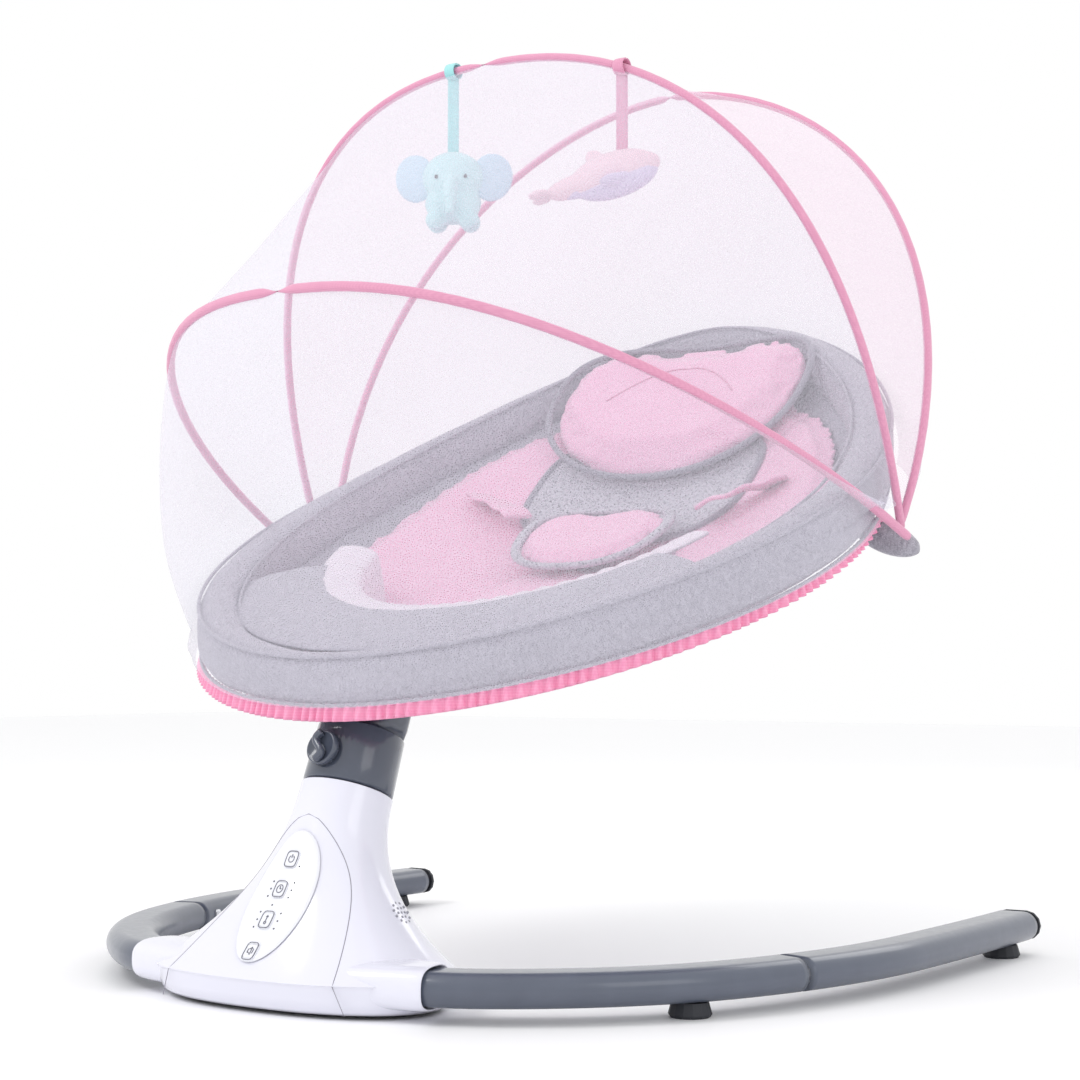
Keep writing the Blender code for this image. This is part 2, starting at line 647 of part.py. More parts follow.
def ring_path(first, last):
    """Evenly numbered points of the centre line; the pieces on it share them."""
    return [ring_point(2 * pi * i / RING_STEPS) for i in range(first, last + 1)]


def oval(half_wide, half_high, steps=10):
    turns = [2 * pi * i / steps for i in range(steps)]
    return [(half_wide * cos(a), half_high * sin(a)) for a in turns]


def rim_section(i, grow=0.0):
    """The cover's section at a numbered point of the ring, which may be between two of them."""
    side = sin(2 * pi * i / RING_STEPS) ** 2
    high = RIM_HALF_HIGH + (RIM_SIDE_HALF_HIGH - RIM_HALF_HIGH) * side + grow
    return [(a, b + RIM_SIDE_RISE * side) for a, b in oval(RIM_HALF_WIDE + grow, high)]


def bucket_z(x, y):
    """Height of the seat bucket's inner surface."""
    w = y - RING_Y
    reach, shape = (RING_HEAD, RING_HEAD_POWER) if w > 0 else (RING_FOOT, RING_FOOT_POWER)
    rho = ((abs(x) / RING_HALF_X) ** shape + (abs(w) / reach) ** shape) ** (1 / shape)
    return ring_z(y) - BUCKET_DEPTH * (1 - min(rho, 1) ** BUCKET_POWER)


def bucket_row(rho, lift, steps=28):
    row = []
    for i in range(steps):
        p = ring_point(2 * pi * i / steps)
        x, y = rho * p.x, RING_Y + rho * (p.y - RING_Y)
        row.append((x, y, bucket_z(x, y) + lift))
    return row


def bowl(name, rhos, lift, thick, mat):
    """A curved sheet that follows the bucket out from its middle."""
    under = [bucket_row(rho, lift) for rho in rhos]
    over = [bucket_row(rho, lift + thick) for rho in rhos]
    return loft(name, under + over[::-1], mat)


def cushion(name, middle, half_x, half_y, lift, thick, mat, shape=2.6, taper=0.0, steps=20):
    """A soft pad lying in the bucket; taper narrows it towards the foot."""

    def row(r, raise_by):
        points = []
        for i in range(steps):
            a = 2 * pi * i / steps
            y = power(sin(a), 2 / shape) * r
            x = power(cos(a), 2 / shape) * r * (1 - taper * (1 - y) / 2)
            px, py = middle[0] + half_x * x, middle[1] + half_y * y
            points.append((px, py, bucket_z(px, py) + raise_by))
        return points

    under = [row(r, lift) for r in (0.1, 0.6, 0.96)]
    over = [row(r, lift + thick * (1 - r**4) ** 0.5 + 0.001) for r in (0.985, 0.9, 0.7, 0.4, 0.1)]
    return loft(name, under + over, mat)


def strip(width, thick):
    """The corners of a flat ribbon's section."""
    a, b = width / 2, thick / 2
    return [(-a, -b), (a, -b), (a, b), (-a, b)]


def build_seat():
    up = lambda i: Vector((0, 0, 1))  # noqa: E731
    ring = loft("seat_ring_tube", sweep(ring_path(0, RING_STEPS - 1), circle(RING_TUBE), up, closed=True), STEEL, cyclic=True)
    path = ring_path(0, RING_STEPS - 1)
    cover = loft("rim_cover", sweep(path, rim_section, up, closed=True), GREY_FABRIC, cyclic=True)
    cut(cover, loft("rim_bore", sweep(path, circle(RIM_BORE, 10), up, closed=True), STEEL, cyclic=True))

    # bracket on top of the neck, with a clamp over the ring, both let into the padded cover
    top = NECK_HEIGHT + GAP
    foot = AXIS_PLACE.inverted() @ ring_point(pi)
    near, far, over = foot.y - 0.0100, foot.y + 0.0105, foot.z + RING_TUBE + 0.0030
    shapes = (
        ("seat_bracket", (-0.026, near, top), (0.026, 0.024, foot.z)),
        ("ring_clamp", (-0.026, near, foot.z + GAP), (0.026, far, over)),
    )
    held = []
    room = Vector((GAP, GAP, GAP)) * 1.5
    for name, low, high in shapes:
        solid, space = bmesh.new(), bmesh.new()
        add_box(solid, low, high, AXIS_PLACE)
        add_box(space, Vector(low) - room, Vector(high) + room, AXIS_PLACE)
        held.append(finish(name, solid, GREY_PLASTIC))
        cut(cover, finish(f"{name}_room", space, GREY_PLASTIC))
    bracket, clamp = held
    bed = loft("ring_bed", sweep(ring_path(RING_STEPS // 2 - 2, RING_STEPS // 2 + 2), circle(RING_TUBE + CLEAR), up), STEEL)
    cut(bracket, bed)
    cut(clamp, bed)
    sling = bowl("seat_sling", (0.10, 0.35, 0.58, 0.76, 0.86, 0.915), -SLING_THICK, SLING_THICK, GREY_FABRIC)
    notch = bmesh.new()
    add_box(notch, (-0.030, -0.30, 0.15), (0.030, foot_inside() + 0.022, 0.26))
    cut(sling, finish("bracket_notch", notch, GREY_FABRIC))

    pads = [
        cushion("liner_pad", (0, 0.055), 0.175, 0.190, 0.0032, 0.016, GREY_FABRIC, 2.4, steps=28),
        cushion("seat_pad", (0, 0.000), 0.085, 0.080, 0.0216, 0.010, PINK_PLUSH, 2.3),
        cushion("back_mesh_pad", (0, 0.160), 0.105, 0.052, 0.0216, 0.006, GREY_MESH, 3.2),
        cushion("head_pillow", (0, 0.222), 0.122, 0.052, 0.0300, 0.030, PINK_PLUSH, 2.4),
        cushion("waist_pad", (0, 0.080), 0.076, 0.042, 0.0425, 0.009, PINK_PLUSH, 2.6, taper=0.75),
    ]
    buckle = bmesh.new()
    spot = Vector((0, 0.076, bucket_z(0, 0.076) + 0.0370))
    slope = (bucket_z(0, 0.096) - bucket_z(0, 0.056)) / 0.040
    lying = Matrix.Translation(spot) @ Matrix.Rotation(atan(slope), 4, "X")
    add_box(buckle, (-0.016, -0.014, -0.0035), (0.016, 0.014, 0.0035), lying)
    pads.append(finish("harness_buckle", buckle, GREY_PLASTIC))
    for label, side in SIDES:
        path = []
        for i in range(7):
            x, y = 0.150 - 0.066 * i / 6, 0.135 - 0.030 * i / 6
            lift = 0.0245 + 0.022 * sin(pi / 2 * i / 6)
            path.append(Vector((side * x, y, bucket_z(x, y) + lift)))
        pads.append(loft(f"harness_belt_{label}", sweep(path, strip(0.026, 0.0016), up), PINK_PLUSH))

    # foot apron, a padded band over the ring's foot end
    rows = []
    for i in range(17):
        p = ring_point(pi + radians(62) * (i - 8) / 8)
        span = []
        for f in (0.70, 0.78, 0.86, 0.920):
            x, y = f * p.x, RING_Y + f * (p.y - RING_Y)
            span.append(Vector((x, y, ring_z(y) + 0.0130 + 0.004 * (1 - ((f - 0.82) / 0.12) ** 2))))
        rows.append(span + [p + Vector((0, 0, 0.003)) for p in span[::-1]])
    pads.append(loft("foot_apron", rows, GREY_FABRIC))

    # elastic hem of the net, hanging under the rim from side to side round the foot
    rows = []
    for i in range(31):
        p = ring_point(pi + radians(78) * (i - 15) / 15)
        out = Vector((p.x, p.y - RING_Y, 0)).normalized()
        near, top = 0.0120, RIM_SIDE_RISE - RIM_SIDE_HALF_HIGH - 0.0020
        low = top - 0.0045 - 0.0055 * (0.5 - 0.5 * cos(pi * i / 15)) ** 2
        corners = ((near, low), (near, top), (near + HEM_THICK, top), (near + HEM_THICK, low))
        rows.append([p + out * reach + Vector((0, 0, h)) for reach, h in corners])
    pads.append(loft("net_hem", rows, PINK_TAPE))
    return [ring, cover, bracket, clamp, sling] + pads


def foot_inside():
    """Where the clamp's inner side comes to along Y, with clearance."""
    inside = AXIS_PLACE @ Vector((0, (AXIS_PLACE.inverted() @ ring_point(pi)).y + 0.013, NECK_HEIGHT + 0.02))
    return inside.y + 0.004


# ---------------------------------------------------------------- neck
def build_neck():
    low, boss, bore = 0.001, SHAFT_RADIUS + 0.0045, SHAFT_RADIUS + GAP
    neck = turned(
        "neck_shell",
        [
            (bore, low),
            (NECK_RADIUS - 0.0015, low),
            (NECK_RADIUS, low + 0.002),
            (NECK_TOP_RADIUS, NECK_HEIGHT),
            (NECK_TOP_RADIUS - NECK_WALL, NECK_HEIGHT),
            (NECK_RADIUS - NECK_WALL, low + 0.004),
            (boss, low + 0.004),
            (boss, SHAFT_UP - 0.004),
            (bore, SHAFT_UP - 0.004),
        ],
        GREY_PLASTIC,
        AXIS_PLACE,
        steps=24,
        cyclic=True,
    )
    # round lock knob on the front of the neck, with a finger bar
    face = AXIS_PLACE @ Matrix.Translation((0, -NECK_RADIUS - GAP, KNOB_AT)) @ Matrix.Rotation(pi / 2, 4, "X")
    knob = turned(
        "lock_knob",
        [(KNOB_RADIUS, 0.0008), (KNOB_RADIUS, 0.0050), (KNOB_RADIUS - 0.0012, 0.0062), (KNOB_RADIUS - 0.0035, 0.0062)],
        GREY_PLASTIC,
        face,
        steps=20,
    )
    bar = bmesh.new()
    add_box(bar, (-0.0022, -0.0095, 0.0050), (0.0022, 0.0095, 0.0105), face)
    cut(knob, finish("finger_bar", bar, GREY_PLASTIC), "UNION")
    joint_empty("lock_knob_joint", face, [knob])
    return [neck, knob]


# ---------------------------------------------------------------- net hood
def hoop_point(kind, k, hub_gap=0.0):
    """k runs 0 to 1 from the right hub over the top to the left hub."""
    half, height, lean, shape, spread = HOOPS[kind]
    a = pi * k
    x = half * power(cos(a), 2 / shape) * (1 + spread * sin(a))
    h = max(height * max(sin(a), 0) ** (2 / shape), hub_gap)
    return HUB + Vector((x, -h * sin(lean), h * cos(lean)))


def rim_line(kind, k):
    """The rim's outside, seen as the lower edge of the front or back net; k as for the hoops."""
    lean = 1 if kind == "foot" else -1
    hub_t = radians(75)
    t = hub_t + (2 * pi - 2 * hub_t) * k if lean > 0 else hub_t * (1 - 2 * k)
    p = ring_point(t)
    out = Vector((p.x, p.y - RING_Y, 0)).normalized()
    return p + out * (RIM_HALF_WIDE + 0.004) + Vector((0, 0, 0.004))


def net_panel(name, first, second, bulge, trim=0.035, steps=18, spans=3):
    """A thin sheet between two lines, k from hub to hub and v from the first line to the second."""
    middle = HUB + Vector((0, 0, 0.10))

    def point(k, v):
        a, b = first(k), second(k)
        width = (b - a).length
        low, high = NET_EDGE / width, 1 - NET_EDGE / width
        v = low + (high - low) * v
        p = a.lerp(b, v)
        return p + (p - middle).normalized() * bulge * 4 * v * (1 - v)

    ks = [trim + (1 - 2 * trim) * (0.5 - 0.5 * cos(pi * i / steps)) for i in range(steps + 1)]
    rows = []
    for i, k in enumerate(ks):
        line = [point(k, j / spans) for j in range(spans + 1)]
        ahead = [point(ks[min(i + 1, steps)], j / spans) for j in range(spans + 1)]
        behind = [point(ks[max(i - 1, 0)], j / spans) for j in range(spans + 1)]
        normals = []
        for j in range(spans + 1):
            across = line[min(j + 1, spans)] - line[max(j - 1, 0)]
            normals.append((ahead[j] - behind[j]).cross(across).normalized() * NET_THICK / 2)
        outer = [p + n for p, n in zip(line, normals)]
        inner = [p - n for p, n in zip(line, normals)]
        rows.append(outer + inner[::-1])
    return loft(name, rows, NET)


def build_hood():
    hoops = {}
    for kind, (half, *_) in HOOPS.items():
        ks = [0.5 - 0.5 * cos(pi * i / 24) for i in range(25) if i not in (1, 23)]
        path = [hoop_point(kind, k, 0.0065) for k in ks]
        radial = [(p - HUB).normalized() for p in path]
        hoop = loft(f"net_hoop_{kind}", sweep(path, circle(HOOP_TUBE, 6), lambda i: radial[i]), PINK_TAPE)
        for label, side in SIDES:
            inner, outer = side * half - EYE_THICK / 2, side * half + EYE_THICK / 2
            eye = turned(
                f"hoop_eye_{kind}_{label}",
                [(HUB_PIN + CLEAR, inner), (EYE_RADIUS, inner), (EYE_RADIUS, outer), (HUB_PIN + CLEAR, outer)],
                PINK_TAPE,
                aim(HUB, Vector((1, 0, 0)), Vector((0, 1, 0))),
                steps=14,
                cyclic=True,
            )
            cut(hoop, eye, "UNION")
        hoops[kind] = hoop

    hubs = []
    up = lambda i: Vector((0, 0, 1))  # noqa: E731
    step = int(hub_angle() / (2 * pi) * RING_STEPS)
    plate_x = HOOPS["rear"][0] - HOOP_TUBE - CLEAR
    pin_end = HOOPS["front"][0] + HOOP_TUBE + CLEAR
    for label, side in SIDES:
        # a clip round a straight stretch of the padded rim, an arm down from it and the pivot pin
        first, second = [ring_point(side * 2 * pi * (step + i) / RING_STEPS) for i in (0, 1)]
        rim = [first.lerp(second, f) for f in (0.30, 0.70)]
        skins = [rim_section(step + 0.5, grow) for grow in (HUB_CLIP + 2 * GAP, 2 * GAP)]
        if side < 0:
            skins = [[(-a, b) for a, b in skin[::-1]] for skin in skins]
        hub = loft(f"net_hub_{label}", sleeve(*[sweep(rim, skin, up) for skin in skins]), GREY_PLASTIC, cyclic=True)
        middle = (first + second) / 2
        low, high = sorted((middle.x + side * 0.004, side * plate_x))
        top = middle.z + RIM_SIDE_RISE - RIM_SIDE_HALF_HIGH * 0.6
        arm = bmesh.new()
        add_box(arm, (low, HUB.y - 0.0065, HUB.z - 0.009), (high, HUB.y + 0.0065, top))
        bracket = finish(f"hub_arm_{label}", arm, GREY_PLASTIC)
        wider = [(a * 1.02, b * 1.02) for a, b in skins[1]]
        cut(bracket, loft(f"rim_passage_{label}", sweep([first, second], wider, up), GREY_PLASTIC))
        cut(hub, bracket, "UNION")
        pin = [(HUB_PIN, plate_x - 0.002), (HUB_PIN, pin_end), (0.0075, pin_end), (0.0065, pin_end + 0.003)]
        outward = aim(HUB, Vector((side, 0, 0)), Vector((0, 1, 0)))
        cut(hub, turned(f"pivot_pin_{label}", pin, GREY_PLASTIC, outward, steps=12), "UNION")
        hubs.append(hub)

    line = lambda kind: lambda k: hoop_point(kind, k)  # noqa: E731
    rim = lambda kind: lambda k: rim_line(kind, k)  # noqa: E731
    top = net_panel("net_top_panel", line("mid"), line("front"), -0.004)
    rear = net_panel("net_rear_panel", line("rear"), line("mid"), -0.004)
    front = net_panel("net_front_panel", line("front"), rim("foot"), 0.015, trim=0.06)
    back = net_panel("net_back_panel", line("rear"), rim("head"), 0.010, trim=0.05)
    return hoops, hubs, front, top, rear, back


def hub_angle():
    """The place on the ring level with the hubs."""
    low, high = 0.0, pi / 2
    for _ in range(30):
        middle = (low + high) / 2
        if ring_point(middle).y > HUB.y:
            low = middle
        else:
            high = middle
    return low


# ---------------------------------------------------------------- toys
def toy_strap(name, k, length, mat):
    """A ribbon looped round the middle hoop, hanging straight down."""
    spot = hoop_point("mid", k)
    tangent = (hoop_point("mid", k + 0.005) - hoop_point("mid", k - 0.005)).normalized()
    down = Vector((0, 0, -1))
    sideways = tangent.cross(down).normalized()
    below = sideways.cross(tangent).normalized()
    if below.z > 0:
        below = -below
    radius = HOOP_TUBE + 0.0026
    path = [spot + (sideways * sin(a) + below * cos(a)) * radius for a in (radians(320) * (1 - i / 10) for i in range(11))]
    path += [spot + below * (radius + 0.004) + sideways * 0.001, spot + down * length]
    rows = sweep(path, strip(0.009, 0.0009), lambda i: sideways if i > 9 else (path[i] - spot).normalized())
    strap = loft(name, rows, mat)
    return strap, aim(spot, tangent, Vector((0, 0, 1))), spot + down * length


def lump(name, place, middle, radii, mat):
    bm = bmesh.new()
    spot = place @ Matrix.Translation(middle) @ Matrix.Diagonal((*radii, 1))
    bmesh.ops.create_uvsphere(bm, u_segments=10, v_segments=7, radius=1, matrix=spot)
    return finish(name, bm, mat, smooth=70)


# name: place along the hoop, ribbon length, turn, tilt, shift, body half sizes, then the lumps sewn to it
TOYS = {
    "elephant": (0.522, 0.066, radians(30), 0, 0.0, (0.024, 0.017, 0.030), TOY_AQUA, (
        ("right_ear", (0.0285, 0.002, 0.007), (0.0158, 0.0040, 0.0190)),
        ("left_ear", (-0.0285, 0.002, 0.007), (0.0158, 0.0040, 0.0190)),
    )),
    "whale": (0.388, 0.068, radians(25), radians(-16), -0.012, (0.040, 0.016, 0.0175), TOY_LILAC, (
        ("tail", (-0.0480, 0.0, 0.000), (0.0130, 0.0150, 0.005)),
        ("fin", (0.004, -0.0160, -0.006), (0.0130, 0.0090, 0.004)),
    )),
}


def build_toys():
    groups = []
    for name, (k, length, yaw, tilt, shift, half, mat, lumps) in TOYS.items():
        strap, joint_place, end = toy_strap(f"{name}_ribbon", k, length, mat)
        hung = Matrix.Translation(end) @ Matrix.Rotation(yaw, 4, "Z")
        place = hung @ Matrix.Translation((shift, 0, 0.005 - half[2])) @ Matrix.Rotation(tilt, 4, "Y")
        body = lump(f"{name}_toy", place, (0, 0, 0), half, mat)
        for part, offset, radii in lumps:
            cut(body, lump(f"{name}_{part}", place, offset, radii, mat), "UNION")
        cut(body, strap, "UNION")
        groups.append(joint_empty(f"{name}_joint", joint_place, [body]))
    return groups


build_base()
build_housing()
swinging = build_drive()
swinging += build_neck()
swinging += build_seat()
hoops, hubs, net_front, net_top, net_rear, net_back = build_hood()
toys = build_toys()

hub_place = aim(HUB, Vector((-1, 0, 0)), Vector((0, 1, 0)))
front_joint = joint_empty("net_front_joint", hub_place, [hoops["front"], net_front, net_top])
mid_joint = joint_empty("net_mid_joint", hub_place, [hoops["mid"], net_rear, front_joint] + toys)
joint_empty("swing_joint", AXIS_PLACE, swinging + [hoops["rear"], net_back, mid_joint] + hubs)
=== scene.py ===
# %% [markdown]
# # An electric baby swing, dressed for the camera
# The hard, exact model of this swing already exists: it was made as CAD, and a physics file says which pieces
# move together. This script adds what CAD leaves out: cloth, stitching, gloss, soft light. It first loads the
# exact model as a fixed frame. Most pieces made below are then fastened to one of its moving bodies, so the
# dressed swing can still swing, fold and click; two net sheets of the hood are fastened to none.

# %% Load the exact model
import json
import bmesh
import bpy
import numpy as np
from math import cos, pi, radians, sin
from mathutils import Matrix, Vector, noise


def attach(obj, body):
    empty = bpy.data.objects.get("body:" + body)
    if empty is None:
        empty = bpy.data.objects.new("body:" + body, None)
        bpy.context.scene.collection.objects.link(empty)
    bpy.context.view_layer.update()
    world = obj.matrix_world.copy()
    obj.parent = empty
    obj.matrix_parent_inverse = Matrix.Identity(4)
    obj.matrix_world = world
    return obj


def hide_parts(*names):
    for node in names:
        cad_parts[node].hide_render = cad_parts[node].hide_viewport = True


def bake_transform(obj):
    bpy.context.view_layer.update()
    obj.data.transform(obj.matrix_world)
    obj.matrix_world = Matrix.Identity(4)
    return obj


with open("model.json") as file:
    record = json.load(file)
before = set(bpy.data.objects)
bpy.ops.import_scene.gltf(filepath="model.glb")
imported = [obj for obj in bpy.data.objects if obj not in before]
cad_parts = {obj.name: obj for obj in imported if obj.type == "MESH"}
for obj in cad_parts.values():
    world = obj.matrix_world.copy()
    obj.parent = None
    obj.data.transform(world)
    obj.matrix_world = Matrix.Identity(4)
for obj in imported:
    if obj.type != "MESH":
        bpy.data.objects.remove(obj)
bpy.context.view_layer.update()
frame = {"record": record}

# %% [markdown]
# ## One way to write a material
# A material in Blender is a graph of nodes. Drawn by hand it is easy to read; written in Python it soon is not.
# So a small class wraps one output socket and lets plain arithmetic build the Math nodes: `1 - mask * 0.4` makes
# two nodes and two links. A second class owns the graph and has a single method that makes any other node.

# %% Sockets that do arithmetic
class Value:
    """A number that changes over the surface: one output socket, with the usual operators."""

    def __init__(self, paint, socket):
        self.paint, self.socket = paint, socket

    def math(self, operation, *others, clamp=False):
        values = {i + 1: other for i, other in enumerate(others)}
        return self.paint.node("ShaderNodeMath", {"operation": operation, "use_clamp": clamp}, {0: self, **values})

    def __add__(self, other): return self.math("ADD", other)
    def __sub__(self, other): return self.math("SUBTRACT", other)
    def __mul__(self, other): return self.math("MULTIPLY", other)
    def __truediv__(self, other): return self.math("DIVIDE", other)
    def __rsub__(self, other): return self.paint.node("ShaderNodeMath", {"operation": "SUBTRACT"}, {0: other, 1: self})
    __radd__, __rmul__ = __add__, __mul__

    def above(self, edge, soft):
        """0 below the edge and 1 above it, with a soft step between."""
        return ((self - edge) / soft + 0.5).math("ADD", 0.0, clamp=True)


class Paint:
    """A material under construction: its node tree and its Principled shader."""

    def __init__(self, name, colour, roughness, **fixed):
        self.material = bpy.data.materials.new(name)
        self.material.use_nodes = True
        self.material.diffuse_color = (*colour, 1.0)
        self.tree = self.material.node_tree
        self.shader = self.tree.nodes["Principled BSDF"]
        self.put("Base Color", (*colour, 1.0))
        self.put("Roughness", roughness)
        for key, value in fixed.items():
            self.put(key.replace("_", " "), value)

    def plug(self, target, value):
        if isinstance(value, Value):
            self.tree.links.new(value.socket, target)
        elif value is not None:
            target.default_value = value

    def put(self, socket, value):
        self.plug(self.shader.inputs[socket], value)
        return self

    def node(self, kind, settings=None, inputs=None, output=0):
        made = self.tree.nodes.new(kind)
        for key, value in (settings or {}).items():
            setattr(made, key, value)
        for key, value in (inputs or {}).items():
            self.plug(made.inputs[key], value)
        return Value(self, made.outputs[output])

    def place(self, scale=(1, 1, 1), turn=(0, 0, 0)):
        """Where we are on the object, in metres, optionally stretched and turned."""
        where = self.node("ShaderNodeTexCoord", output="Object")
        return self.node("ShaderNodeMapping", {}, {0: where, "Scale": scale, "Rotation": turn})

    def cloud(self, size, detail=2.0, stretch=(1, 1, 1), rough=0.5):
        """Soft noise whose blobs are about `size` metres across, from 0 to 1."""
        inputs = {"Vector": self.place(stretch), "Scale": 1.0 / size, "Detail": detail, "Roughness": rough}
        return self.node("ShaderNodeTexNoise", {}, inputs, output=0)

    def cells(self, size, feature="F1", stretch=(1, 1, 1)):
        inputs = {"Vector": self.place(stretch), "Scale": 1.0 / size}
        return self.node("ShaderNodeTexVoronoi", {"feature": feature}, inputs, output=0)

    def stripes(self, size, turn):
        """Parallel threads `size` metres apart, from 0 to 1."""
        inputs = {"Vector": self.place((1, 1, 1), turn), "Scale": 0.3183 / size}
        return self.node("ShaderNodeTexWave", {"wave_type": "BANDS", "bands_direction": "X"}, inputs, output=1)

    def blend(self, amount, first, second):
        """A colour between two colours."""
        inputs = {0: amount, 6: (*first, 1) if len(first) == 3 else first, 7: (*second, 1)}
        return self.node("ShaderNodeMix", {"data_type": "RGBA"}, inputs, output=2)

    def relief(self, height, depth, strength=0.6):
        """A bump of about `depth` metres from a height between 0 and 1."""
        inputs = {"Height": height, "Distance": depth, "Strength": strength}
        return self.put("Normal", self.node("ShaderNodeBump", {}, inputs))


paints = {}


def keep(slot, paint):
    """Files a material under the name of the slot that it finishes."""
    paints[slot] = paint.material


print("shader helpers ready")

# %% [markdown]
# ## Painted and polished surfaces
# The floor tube is blue-grey satin paint over steel. Sprayed paint is never quite flat: a very fine orange peel
# breaks up the long highlights. The housing is injection-moulded gloss plastic, cool white, and the neck is the
# same plastic in dark grey. Gloss lives in the roughness and the clear coat, so those get the small changes.

# %% Hard finishes
def satin_paint():
    paint = Paint("blue_grey_satin_paint", (0.085, 0.100, 0.140), 0.32, Coat_Weight=0.5, Coat_Roughness=0.12)
    dust = paint.cloud(0.020, 3)
    paint.put("Base Color", paint.blend(dust, (0.072, 0.086, 0.122), (0.098, 0.114, 0.158)))
    paint.put("Roughness", 0.26 + 0.12 * paint.cloud(0.006, 3))
    return paint.relief(paint.cloud(0.0009, 1), 0.00004, 0.5)


def gloss_plastic(name, colour, roughness, mottle):
    paint = Paint(name, colour, roughness, Coat_Weight=0.5, Coat_Roughness=0.06, Specular_IOR_Level=0.5)
    shade = tuple(c * 0.96 for c in colour)
    paint.put("Base Color", paint.blend(paint.cloud(0.05, 2), shade, colour))
    paint.put("Roughness", roughness + mottle * paint.cloud(0.012, 4))
    return paint.relief(paint.cloud(0.018, 1), 0.00006, 0.35)


def black_rubber():
    paint = Paint("black_rubber", (0.022, 0.024, 0.031), 0.62)
    grain = paint.cloud(0.0012, 4)
    paint.put("Base Color", paint.blend(grain, (0.016, 0.018, 0.024), (0.034, 0.036, 0.045)))
    paint.put("Roughness", 0.52 + 0.25 * grain)
    return paint.relief(grain, 0.00012, 0.5)


def plain_metal(name, colour, roughness):
    paint = Paint(name, colour, roughness, Metallic=1.0)
    scratch = paint.cloud(0.004, 4, (1, 1, 9))
    paint.put("Roughness", roughness + 0.18 * scratch)
    return paint.relief(scratch, 0.00003, 0.4)


def circuit_green():
    paint = Paint("circuit_green", (0.03, 0.17, 0.07), 0.45)
    track = paint.cells(0.004, "DISTANCE_TO_EDGE").above(0.08, 0.02)
    return paint.put("Base Color", paint.blend(track, (0.05, 0.26, 0.11), (0.02, 0.12, 0.05)))


keep("steel_paint", satin_paint())
keep("white_plastic", gloss_plastic("cool_white_gloss", (0.80, 0.80, 0.90), 0.13, 0.05))
keep("panel_white", gloss_plastic("white_touch_film", (0.86, 0.87, 0.93), 0.10, 0.03))
keep("grey_plastic", gloss_plastic("dark_grey_gloss", (0.072, 0.084, 0.118), 0.16, 0.07))
keep("rubber", black_rubber())
keep("steel", plain_metal("zinc_steel", (0.62, 0.63, 0.66), 0.24))
keep("copper", plain_metal("enamelled_copper", (0.72, 0.32, 0.16), 0.30))
keep("board_green", circuit_green())
print("hard finishes:", ", ".join(paints))

# %% [markdown]
# ## Cloth that reads as cloth
# Four different cloths meet on the seat. The grey heather is a knit of light and dark yarns, so its colour comes
# from fine streaks rather than from one grey. The pink plush has a short pile that scatters light at its edges,
# which is what Sheen is for. The spacer mesh has rows of small holes, and the ribbon has ribs across it.

# %% Soft finishes
def heather(name, dark, light):
    paint = Paint(name, light, 0.9, Sheen_Weight=0.25, Sheen_Roughness=0.5, Specular_IOR_Level=0.25)
    yarn = paint.cloud(0.0011, 3, (1, 1, 3.2), 0.7)
    slub = paint.cloud(0.0045, 2, (2.5, 1, 1))
    mixed = (yarn * 0.75 + slub * 0.25).above(0.5, 0.22)
    paint.put("Base Color", paint.blend(mixed, dark, light))
    loops = paint.stripes(0.0016, (0, 0, radians(35))), paint.stripes(0.0016, (0, radians(40), radians(-50)))
    knit = loops[0] * 0.5 + loops[1] * 0.5
    return paint.relief(knit * 0.6 + yarn * 0.4, 0.0005, 0.55)


def plush(name, dark, light, pile=0.0017):
    paint = Paint(name, light, 0.95, Sheen_Weight=0.7, Sheen_Roughness=0.35, Specular_IOR_Level=0.2)
    tuft = paint.cloud(pile, 3, rough=0.65)
    brushed = paint.cloud(0.022, 2)
    paint.put("Base Color", paint.blend(tuft * 0.55 + brushed * 0.45, dark, light))
    return paint.relief(tuft, 0.0011, 0.6)


def ribbon(name, dark, light, rib=0.0012):
    paint = Paint(name, light, 0.75, Sheen_Weight=0.3, Specular_IOR_Level=0.3)
    ribs = paint.stripes(rib, (0, radians(90), 0)) * 0.5 + paint.stripes(rib, (0, 0, radians(45))) * 0.5
    paint.put("Base Color", paint.blend(ribs * 0.6 + paint.cloud(0.006, 2) * 0.4, dark, light))
    return paint.relief(ribs, 0.0003, 0.5)


def spacer_mesh():
    paint = Paint("grey_spacer_mesh", (0.42, 0.41, 0.46), 0.85, Sheen_Weight=0.2)
    holes = paint.cells(0.0026).above(0.30, 0.12)
    # the hole centres get the dark grey, which is painted shade inside each hole; the same mask also drives the real
    # bump
    paint.put("Base Color", paint.blend(holes, (0.20, 0.195, 0.23), (0.50, 0.49, 0.54)))
    return paint.relief(holes, 0.0008, 0.8)


def sheer_net(name, colour, cover):
    """A knitted net: fine holes let the light through, and the threads hold the colour."""
    paint = Paint(name, colour, 0.8, Sheen_Weight=0.2, Specular_IOR_Level=0.15)
    threads = 1 - paint.cells(0.0014, "DISTANCE_TO_EDGE").above(0.16, 0.12)
    folds = paint.cloud(0.11, 2)
    paint.put("Alpha", cover * 0.72 + threads * (cover * 0.55) + folds * (cover * 0.25))
    return paint.put("Base Color", paint.blend(folds, tuple(c * 0.93 for c in colour), colour))


